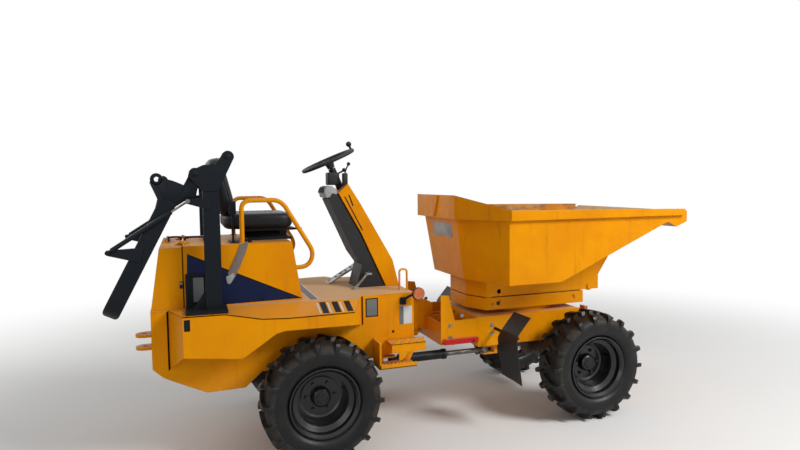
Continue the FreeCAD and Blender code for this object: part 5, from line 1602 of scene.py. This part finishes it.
@dataclass(frozen=True)
class Platform:
    """Platform floor with its engine bay, and the fenders, whose tops fall away to their outer edges."""

    top: float = 0.950
    sheet: float = 0.008
    rear: float = -1.697
    front: float = -0.096
    half: float = 0.400
    neck: float = -0.452
    # The engine bay's rear edge, front edge and half width, and the cut that joins it to the outline
    bay: Point = (-1.673, -0.848, 0.356)
    slit: float = 0.001
    # At stations along x: x, the ridge's y, the outer edge's y and the outer edge's z
    fender_top: tuple[tuple[float, float, float, float], ...] = (
        (-1.602, 0.3990, 0.4000, 0.950), (-1.525, 0.407, 0.615, 0.950), (-1.300, 0.424, 0.615, 0.948),
        (-1.100, 0.436, 0.615, 0.905), (-0.961, 0.441, 0.615, 0.897), (-0.845, 0.442, 0.615, 0.897),
        (-0.642, 0.480, 0.615, 0.899), (-0.554, 0.488, 0.615, 0.899), (-0.4925, 0.4845, 0.4855, 0.950))
    skirt_low: Outline = ((-1.612, 0.592), (-1.525, 0.718), (-1.212, 0.682), (-1.020, 0.808), (-0.967, 0.820),
                          (-0.557, 0.817), (-0.442, 0.760))
    # How far the skirt's upper edge lies below what covers it
    lap: float = 0.002
    # Stations that the fender and the skirt add to those of the tables
    fine: tuple[int, int] = (60, 70)

    def fender_place(self, x: float, share: float, side: Side = Side.LEFT) -> Point:
        """A place on a fender's sloping top.

        Args:
            x: its place along the machine.
            share: how far it is on the way from the ridge to the outer edge, from 0 to 1.
            side: the side of the machine.

        Returns:
            The place.
        """
        at, *lines = np.array(self.fender_top).T
        ridge, edge, low = (float(np.interp(x, at, line)) for line in lines)
        return (x, side.value * (ridge + (edge - ridge) * share), self.top + (low - self.top) * share)

    def floor(self) -> Patch:
        """The floor: its outline runs through a slit at the rear and round the bay.

        Returns:
            The floor's skin.
        """
        bay_rear, bay_front, bay_half = self.bay
        left = [(self.rear, self.half), *(row[:2] for row in self.fender_top), (self.neck, self.half),
                (self.front, self.half)]
        hole = [(self.rear, self.slit), (bay_rear, self.slit), (bay_rear, bay_half), (bay_front, bay_half)]
        outline = [*((x, -y) for x, y in left), *reversed(left), *hole, *((x, -y) for x, y in reversed(hole))]
        return prism(np.array(outline), self.top - self.sheet, self.top, 0.0004, 1)

    def fender(self, side: Side) -> Patch:
        """A fender's top: at each station a strip from its ridge to its outer edge.

        Args:
            side: the side of the machine.

        Returns:
            The skin.
        """
        stations = np.array(self.fender_top)[:, 0]
        down = np.array([0.0, 0.0, self.sheet])
        loops = []
        for x in np.unique(np.concatenate([stations, np.linspace(stations[0], stations[-1], self.fine[0])])):
            inner, outer = (np.array(self.fender_place(x, share, side)) for share in (0.0, 1.0))
            loops.append([inner, outer, outer - down, inner - down])
        return Patch(np.array(loops), capped=True)

    def skirt(self, side: Side) -> Patch:
        """A fender's side wall, which turns in to the floor's side at its front end.

        Args:
            side: the side of the machine.

        Returns:
            The skin.
        """
        stations = np.array(self.fender_top)[:, 0]
        low_x, low_z = np.array(self.skirt_low).T
        last = stations[-1]
        loops = []
        even = np.linspace(stations[0], self.neck, self.fine[1])
        for x in np.unique(np.concatenate([stations, low_x, even])):
            _, outer, high = self.fender_place(min(x, last), 1.0)
            if x > last:
                outer = float(np.interp(x, (last, self.neck), (outer, self.half)))
                high = self.top - self.lap
            y0, y1 = side.value * outer, side.value * (outer - self.sheet)
            low = float(np.interp(x, low_x, low_z))
            loops.append([(x, y0, high - self.lap), (x, y0, low), (x, y1, low), (x, y1, high - self.lap)])
        return Patch(np.array(loops), capped=True)

    def build(self) -> None:
        """Makes the floor and both fenders."""
        make_piece("floor_sheet", [self.floor()], DECK, "root", ["platform_deck"])
        patches = [skin for side in Side for skin in (self.fender(side), self.skirt(side))]
        make_piece("fenders", patches, FENDER, "root", sharp=12.0)


@dataclass(frozen=True)
class Console:
    """The folded console: two cheeks and the sheet between them, open towards the operator."""

    front: Outline = ((-0.519, 1.600), (-0.452, 1.664), (-0.368, 1.530), (-0.141, 1.131), (-0.096, 0.950))
    back: Outline = ((-0.104, 0.950), (-0.150, 1.128), (-0.377, 1.526), (-0.455, 1.652), (-0.514, 1.594))
    cheek_rear: Outline = ((-0.192, 0.950), (-0.367, 1.330))
    half: float = 0.114
    cheek_y: float = 0.107
    plate: float = 0.008
    edge: float = 0.002

    def build(self) -> None:
        """Makes the sheet and its cheeks."""
        cheek = rounded_outline([*self.front, *self.cheek_rear], 0.006, 3)
        patches = [across_prism([*self.front, *self.back], -self.half, self.half, self.edge)]
        patches += [side_plate(cheek, side, self.cheek_y, self.plate, self.edge) for side in Side]
        make_piece("console_sheet", patches, COVER, "root", ["console"])


@dataclass(frozen=True)
class GrabRails:
    """The bent rails beside the operator and the small loop at the deck's front."""

    rail: Outline = ((-1.174, 1.304), (-1.174, 1.570), (-0.938, 1.570), (-0.740, 1.236), (-0.778, 1.150),
                     (-0.900, 1.150))
    rail_y: float = 0.352
    rail_radius: float = 0.014
    rail_cut: float = 0.058
    foot: Outline = ((0.0, 0.0), (0.024, 0.0), (0.024, 0.003), (0.016, 0.006), (0.0, 0.006))
    foot_z: float = 1.3115
    loop: Outline = ((-0.158, 0.945), (-0.158, 1.090), (-0.105, 1.090), (-0.105, 0.945))
    loop_y: float = -0.300
    loop_radius: float = 0.007
    loop_cut: float = 0.024

    def build(self) -> None:
        """Makes both rails with their feet, and the loop."""
        patches = []
        for side in Side:
            y = side.value * self.rail_y
            patches.append(bent_bar(self.rail, y, self.rail_radius, self.rail_cut, 10, 24))
            patches += Place((self.rail[0][0], y, self.foot_z)).put([revolved(self.foot, 24)])
        patches.append(bent_bar(self.loop, self.loop_y, self.loop_radius, self.loop_cut, 8, 16))
        make_piece("rails", patches, COVER, "root", ["grab_rails"], sharp=50.0)


@dataclass(frozen=True)
class ToothedLip:
    """A tread's outer lip, whose upper edge is cut into equal teeth."""

    rear: float
    front: float
    low: float
    high: float
    y: float
    first: float
    pitch: float
    count: int
    tooth: Outline

    def outline(self) -> list[Flat]:
        """The lip's outline with all its teeth."""
        teeth = [(self.first + number * self.pitch + x, self.high + z) for number in range(self.count)
                 for x, z in self.tooth]
        return [(self.front, self.low), (self.rear, self.low), (self.rear, self.high), *teeth,
                (self.front, self.high)]


@dataclass(frozen=True)
class Steps:
    """Two treads a side with saw-toothed lips, on end plates."""

    # Both treads and the rear end plate
    boxes: tuple[tuple[Point, Point], ...] = (
        ((-0.380, 0.400, 0.500), (-0.130, 0.545, 0.508)),
        ((-0.290, 0.400, 0.640), (-0.060, 0.520, 0.648)),
        ((-0.380, 0.400, 0.500), (-0.368, 0.545, 0.668)),
    )
    lips: tuple[ToothedLip, ToothedLip] = (
        ToothedLip(rear=-0.380, front=-0.130, low=0.500, high=0.528, y=0.537, first=-0.372, pitch=0.024,
                   count=9, tooth=((0.0, 0.0), (0.008, 0.010), (0.016, 0.0))),
        ToothedLip(rear=-0.290, front=-0.060, low=0.590, high=0.648, y=0.512, first=-0.282, pitch=0.054,
                   count=4, tooth=((0.0, 0.0), (0.048, 0.031), (0.0485, 0.0))),
    )
    wall: float = 0.4001
    carrier: Outline = ((-0.192, 0.500), (-0.130, 0.500), (-0.052, 0.648), (-0.290, 0.648), (-0.290, 0.620),
                        (-0.192, 0.600))
    link: Outline = ((-0.242, 0.592), (-0.180, 0.592), (-0.208, 0.548), (-0.242, 0.534))
    plate: float = 0.008

    def build(self) -> None:
        """Makes the steps of both sides."""
        patches = []
        for side in Side:
            for low, high in self.boxes:
                y0, y1 = sorted((side.value * low[1], side.value * high[1]))
                patches.append(box_patch((low[0], y0, low[2]), (high[0], y1, high[2]), 0.002))
            patches += [side_plate(lip.outline(), side, lip.y, self.plate, 0.0006) for lip in self.lips]
            patches.append(side_plate(self.carrier, side, self.wall, self.plate, 0.001))
            patches.append(side_plate(self.link, side, self.lips[1].y, self.plate, 0.001))
        make_piece("step_treads", patches, BODY, "root", ["steps"])


@dataclass(frozen=True)
class CoverGrilles:
    """Slatted black panels on the cover's sides, behind the posts, each with a pale plate."""

    inner: tuple[float, float, float, float] = (-1.490, -1.316, 0.970, 1.136)
    border: float = 0.014
    wall: float = 0.3803
    frame_thick: float = 0.010
    sheet: float = 0.003
    slats: int = 7
    slat_pitch: float = 0.02371
    slat_high: float = 0.0118
    slat_thick: float = 0.006
    plate: tuple[float, float, float, float] = (-1.462, -1.404, 0.985, 1.128)
    plate_y: float = 0.3904
    plate_thick: float = 0.0012

    def panel(self, side: Side) -> list[Patch]:
        """Frame, sheet and slats of one side.

        Args:
            side: the side of the machine.

        Returns:
            Their skins.
        """
        x0, x1, z0, z1 = self.inner
        out = self.border
        bars = ((x0 - out, x0, z0 - out, z1 + out), (x1, x1 + out, z0 - out, z1 + out), (x0, x1, z0 - out, z0),
                (x0, x1, z1, z1 + out))
        patches = [side_plate(rectangle(*bar), side, self.wall, self.frame_thick, 0.001) for bar in bars]
        patches.append(side_plate(rectangle(*self.inner), side, self.wall, self.sheet))
        for number in range(self.slats):
            z = z0 + (number + 0.25) * self.slat_pitch
            slat = rectangle(x0, x1, z, z + self.slat_high)
            patches.append(side_plate(slat, side, self.wall + self.sheet, self.slat_thick, 0.0012))
        return patches

    def build(self) -> None:
        """Makes the panels and the plates of both sides."""
        dark = [patch for side in Side for patch in self.panel(side)]
        outline = rounded_outline(rectangle(*self.plate), 0.004)
        pale = [side_plate(outline, side, self.plate_y, self.plate_thick) for side in Side]
        make_piece("cover_grilles", dark, BLACK, "root")
        make_piece("grille_plates", pale, GREY, "root")


@dataclass(frozen=True)
class LapBelt:
    """Lap belt that hangs from the cover's right edge, and its grey tongue."""

    line: tuple[Point, ...] = ((-1.166, -0.3575, 1.3165), (-1.166, -0.3755, 1.3168), (-1.168, -0.3825, 1.309),
                               (-1.180, -0.3829, 1.27), (-1.206, -0.3835, 1.21), (-1.232, -0.3835, 1.155),
                               (-1.246, -0.3835, 1.128))
    half_wide: float = 0.024
    half_thick: float = 0.0011
    lie: Point = (1.0, 0.0, 0.35)
    tongue: Outline = ((-1.278, 1.122), (-1.232, 1.144), (-1.226, 1.118), (-1.252, 1.078), (-1.270, 1.078))
    tongue_y: float = 0.3815
    tongue_thick: float = 0.007

    def strap(self) -> Patch:
        """The strap: a thin section carried along its line, its width square to the run.

        Returns:
            The skin.
        """
        line = smoothed(self.line, 7, 6)
        corners = rectangle(-self.half_wide, self.half_wide, -self.half_thick, self.half_thick)
        section = rounded_outline(corners, 0.0009, 2)
        run = unit(np.gradient(line, axis=0))
        side = unit(np.cross(run, np.cross(np.array(self.lie), run)))
        rise = np.cross(side, run)
        points = line[:, None] + section[None, :, :1] * side[:, None] + section[None, :, 1:] * rise[:, None]
        return Patch(points, capped=True)

    def build(self) -> None:
        """Makes the strap and its tongue."""
        make_piece("belt_strap", [self.strap()], STRAP, "root", ["seat_belt"])
        tongue = rounded_outline(self.tongue, 0.008)
        flat = side_plate(tongue, Side.RIGHT, self.tongue_y, self.tongue_thick, 0.002, 3)
        make_piece("belt_tongue", [flat], PALE_PLASTIC, "root")


@dataclass(frozen=True)
class Mudflaps:
    """Bent rubber flaps behind the front tyres, bowed a little, with a clamp strip and an arm each."""

    line: Outline = ((0.6205, 0.7720), (0.604, 0.753), (0.572, 0.716), (0.5385, 0.678), (0.5215, 0.654),
                     (0.5190, 0.622), (0.5230, 0.560), (0.5320, 0.480), (0.5450, 0.400), (0.5565, 0.3215))
    outer: float = 0.668
    # The inner edge's y at the foot and at the top, and the heights between which it changes
    inner: Flat = (0.410, 0.4640)
    taper: Flat = (0.590, 0.650)
    thick: float = 0.0075
    bow: float = 0.004
    columns: int = 17
    arm_x: float = 0.545
    arm_z: float = 0.632
    arm_y: tuple[float, ...] = (0.331, 0.45, 0.640)
    arm_radius: float = 0.011
    clamp: tuple[Point, Point] = ((0.5285, 0.47, 0.612), (0.5335, 0.652, 0.650))
    bolts: tuple[float, ...] = (0.49, 0.56, 0.63)
    bolt_z: float = 0.640

    def sheet(self, side: Side) -> Patch:
        """One flap: at a share s across, it stands out by bow sin(pi s), square to its line.

        Args:
            side: the side of the machine.

        Returns:
            The skin.
        """
        line = smoothed(self.line, 5, 5)
        run = unit(np.gradient(line, axis=0))
        out = np.stack([-run[:, 1], run[:, 0]], -1)
        share = np.linspace(0.0, 1.0, self.columns)[None, :]
        inward = np.interp(line[:, 1], self.taper, self.inner)[:, None]
        across = inward + (self.outer - inward) * share
        faces = []
        for lift in (0.0, self.thick):
            off = lift + self.bow * np.sin(math.pi * share)
            x = line[:, None, 0] + out[:, None, 0] * off
            z = line[:, None, 1] + out[:, None, 1] * off
            faces.append(np.stack([x, side.value * across, z], -1))
        return Patch(np.concatenate([faces[0], faces[1][:, ::-1]], 1), capped=True)

    def arm(self, side: Side) -> list[Patch]:
        """Arm, clamp strip and bolts of one flap.

        Args:
            side: the side of the machine.

        Returns:
            Their skins.
        """
        low, high = self.clamp
        y0, y1 = sorted((side.value * low[1], side.value * high[1]))
        path = [side.placed(self.arm_x, y, self.arm_z) for y in self.arm_y]
        patches = [tube(path, self.arm_radius, UP)]
        patches.append(box_patch((low[0], y0, low[2]), (high[0], y1, high[2]), 0.002))
        for y in self.bolts:
            patches += BoltHead(0.007).patches(side.placed(high[0], y, self.bolt_z), AHEAD)
        return patches

    def build(self) -> None:
        """Makes both flaps and what holds them."""
        sheets = [self.sheet(side) for side in Side]
        arms = [patch for side in Side for patch in self.arm(side)]
        make_piece("rubber_flaps", sheets, FLAP, "front_frame", ["mudflaps"], sharp=50.0)
        make_piece("flap_arms", arms, BLACK, "front_frame")


class MarkKind(Enum):
    """The kinds of markings, each with its piece's name and its finish."""

    TRIANGLE = ("navy_triangles", NAVY)
    # The dark kind is print, except for one patch on each fender, which is painted shade of a hole
    DARK = ("dark_stripes", BLACK)
    PALE = ("pale_stripes", WHITE)
    LABEL = ("grey_labels", GREY)


@dataclass(frozen=True)
class SideMark:
    """A marking on both upright sides: its kind, how far out it lies, its thickness and its (x, z) outline."""

    kind: MarkKind
    y: float
    thick: float
    outline: Outline


@dataclass(frozen=True)
class Markings:
    """Stripes and blank labels of the cover, the platform, the nose and the skip, and dark patches and discs that
    are painted shade of holes.
    """

    platform: Platform = Platform()
    marks: tuple[SideMark, ...] = (
        SideMark(MarkKind.TRIANGLE, 0.3802, 0.0006, ((-1.490, 1.256), (-1.500, 0.954), (-0.850, 0.961))),
        SideMark(MarkKind.DARK, 0.3802, 0.0007,
                 ((-1.490, 1.268), (-1.490, 1.256), (-0.850, 0.961), (-0.826, 0.961))),
        SideMark(MarkKind.PALE, 0.4002, 0.0006, tuple(rectangle(-0.168, -0.109, 0.742, 0.862))),
        SideMark(MarkKind.LABEL, 0.4002, 0.0006, tuple(rectangle(-0.196, -0.169, 0.742, 0.862))),
        SideMark(MarkKind.DARK, 0.4002, 0.0005, tuple(rectangle(-0.425, -0.341, 0.808, 0.929))),
        SideMark(MarkKind.LABEL, 0.4004, 0.0007, tuple(rectangle(-0.418, -0.348, 0.815, 0.922))),
        # Painted shade: a dark patch near the rear edge of each fender's side stands for a small rectangular hole
        SideMark(MarkKind.DARK, 0.6151, 0.0006, tuple(rectangle(-1.518, -1.486, 0.866, 0.930))),
        SideMark(MarkKind.DARK, 0.1151, 0.0006,
                 ((-0.480, 1.575), (-0.473, 1.579), (-0.352, 1.347), (-0.359, 1.343))),
        SideMark(MarkKind.DARK, 0.1151, 0.0006,
                 ((-0.452, 1.588), (-0.444, 1.591), (-0.416, 1.516), (-0.424, 1.512))),
    )
    # Kind, rear and front x, and where the stripe starts on the way over the fender
    stripes: tuple[tuple[MarkKind, float, float, float], ...] = (
        (MarkKind.DARK, -0.742, -0.706, 0.10), (MarkKind.DARK, -0.668, -0.632, 0.10),
        (MarkKind.DARK, -0.594, -0.558, 0.10), (MarkKind.PALE, -0.700, -0.688, 0.16),
        (MarkKind.PALE, -0.626, -0.614, 0.16), (MarkKind.PALE, -0.762, -0.750, 0.16))
    stripe_end: float = 0.93
    stripe_lift: float = 0.0005
    # Kind, low and high x and y, z and thickness
    bands: tuple[tuple[MarkKind, tuple[float, float, float, float], float, float], ...] = (
        (MarkKind.DARK, (-0.776, -0.735, -0.400, 0.300), 0.9502, 0.0006),
        (MarkKind.PALE, (-0.733, -0.722, -0.400, 0.300), 0.9502, 0.0005))
    # Name, x, z and radius of black discs on the turning frame, painted shade where holes show their dark insides
    holes: tuple[tuple[str, float, float, float], ...] = (
        ("frame_hole_586", 0.586, 0.802, 0.014), ("frame_hole_540", 0.540, 0.800, 0.006))
    hole_y: float = 0.3001
    torn: Outline = ((-0.175, -0.052), (-0.08, -0.058), (0.06, -0.050), (0.168, -0.056), (0.172, 0.050),
                     (0.05, 0.054), (-0.10, 0.046), (-0.170, 0.056))
    torn_place: Place = Place((0.2815, -0.015, 1.325), (-1.0, 0.0, -0.153), (-0.153, 0.0, 1.0))

    def stripe(self, side: Side, start: float, end: float, near: float) -> Patch:
        """A stripe that follows a fender's slope.

        Args:
            side: the side of the machine.
            start: its rear edge's x.
            end: its front edge's x.
            near: where it starts on the way from the ridge to the outer edge.

        Returns:
            The skin.
        """
        far = self.stripe_end
        corners = np.array([self.platform.fender_place(x, share, side)
                            for x, share in ((start, near), (end, near), (end, far), (start, far))])
        lift = np.array([0.0, 0.0, self.stripe_lift])
        return Patch(np.stack([corners - lift, corners + lift]), capped=True)

    def build(self) -> None:
        """Makes a piece of each kind, the black discs of painted hole shade, and the skip's label."""
        groups: dict[MarkKind, list[Patch]] = {kind: [] for kind in MarkKind}
        for side in Side:
            for mark in self.marks:
                groups[mark.kind].append(side_plate(mark.outline, side, mark.y, mark.thick))
            for kind, start, end, near in self.stripes:
                groups[kind].append(self.stripe(side, start, end, near))
        for kind, extent, z, thick in self.bands:
            groups[kind].append(prism(np.array(rectangle(*extent)), z, z + thick, 0.0003, 1))
        # Painted shade: black discs stand for the dark insides of holes in the turning frame
        for name, x, z, radius in self.holes:
            disc = revolved([(0.0, 0.0), (radius, 0.0), (radius, 0.0006), (0.0, 0.0006)], 28)
            spots = [Place(side.placed(x, self.hole_y, z), side.out, UP).put([disc])[0] for side in Side]
            make_piece(name, spots, BLACK, "swivel")
        label = prism(rounded_outline(self.torn, 0.012, 3), 0.0004, 0.0010, 0.0002, 1)
        make_piece("skip_label", self.torn_place.put([label]), WORN_LABEL, "skip")
        for kind, patches in groups.items():
            name, finish = kind.value
            make_piece(name, patches, finish, "root")


@dataclass(frozen=True)
class BoltRow:
    """Bolts of one kind on both sides: the piece's name, its body, its finish, their size and left places."""

    name: str
    body: str
    finish: Finish
    size: float
    places: tuple[Point, ...]

    def build(self) -> None:
        """Makes the row's bolts as one piece."""
        head = BoltHead(self.size)
        heads = [patch for place in self.places for side in Side
                 for patch in head.patches(side.placed(*place), side.out)]
        make_piece(self.name, heads, self.finish, self.body)


@dataclass(frozen=True)
class Bolts:
    """Bolts, pin heads and nuts where plates meet, on the body that carries them."""

    rows: tuple[BoltRow, ...] = (
        BoltRow("post_bolts", "root", BLACK, 0.012, ((-1.433, 0.5452, 1.728), (-1.255, 0.5452, 1.823))),
        BoltRow("cover_bolts", "root", BLACK, 0.006, ((-0.90, 0.3801, 0.972), (-1.06, 0.3801, 0.972))),
        BoltRow("nose_bolts", "root", BLACK, 0.006, ((-0.240, 0.4001, 0.700),)),
        BoltRow("frame_bolts", "front_frame", STEEL, 0.010,
                ((0.285, 0.3301, 0.747), (0.20, 0.3301, 0.60), (0.20, 0.3301, 0.68), (0.520, 0.3301, 0.60),
                 (0.520, 0.3301, 0.66), (1.10, 0.3301, 0.56), (1.17, 0.3301, 0.56))),
    )

    def build(self) -> None:
        """Makes each row."""
        for row in self.rows:
            row.build()


def dress_nodes() -> None:
    """Gives every carried part that stays its finish."""
    for name, finish in NODE_FINISHES.items():
        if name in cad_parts:
            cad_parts[name].material_slots[0].material = finish.material()


def main() -> None:
    """Builds the camera, the light and then the machine, sub-assembly by sub-assembly."""
    logging.basicConfig(level=logging.INFO, format="%(name)s: %(message)s")
    Viewpoint().build()
    Studio().build()
    dress_nodes()
    wheels = [(end, side) for end in End for side in Side]
    for end, side in wheels:
        Tyre().build(end, side)
    for assembly in (OperatorSeat(), MarkerLamps(), Controls(), HoodFittings(), RollHoop(), Platform(),
                     Console(), GrabRails(), Steps(), CoverGrilles(), LapBelt(), Mudflaps(), Markings(), Bolts()):
        assembly.build()
    for end, side in wheels:
        WheelFittings().build(end, side)


if __name__ == "__main__":
    main()
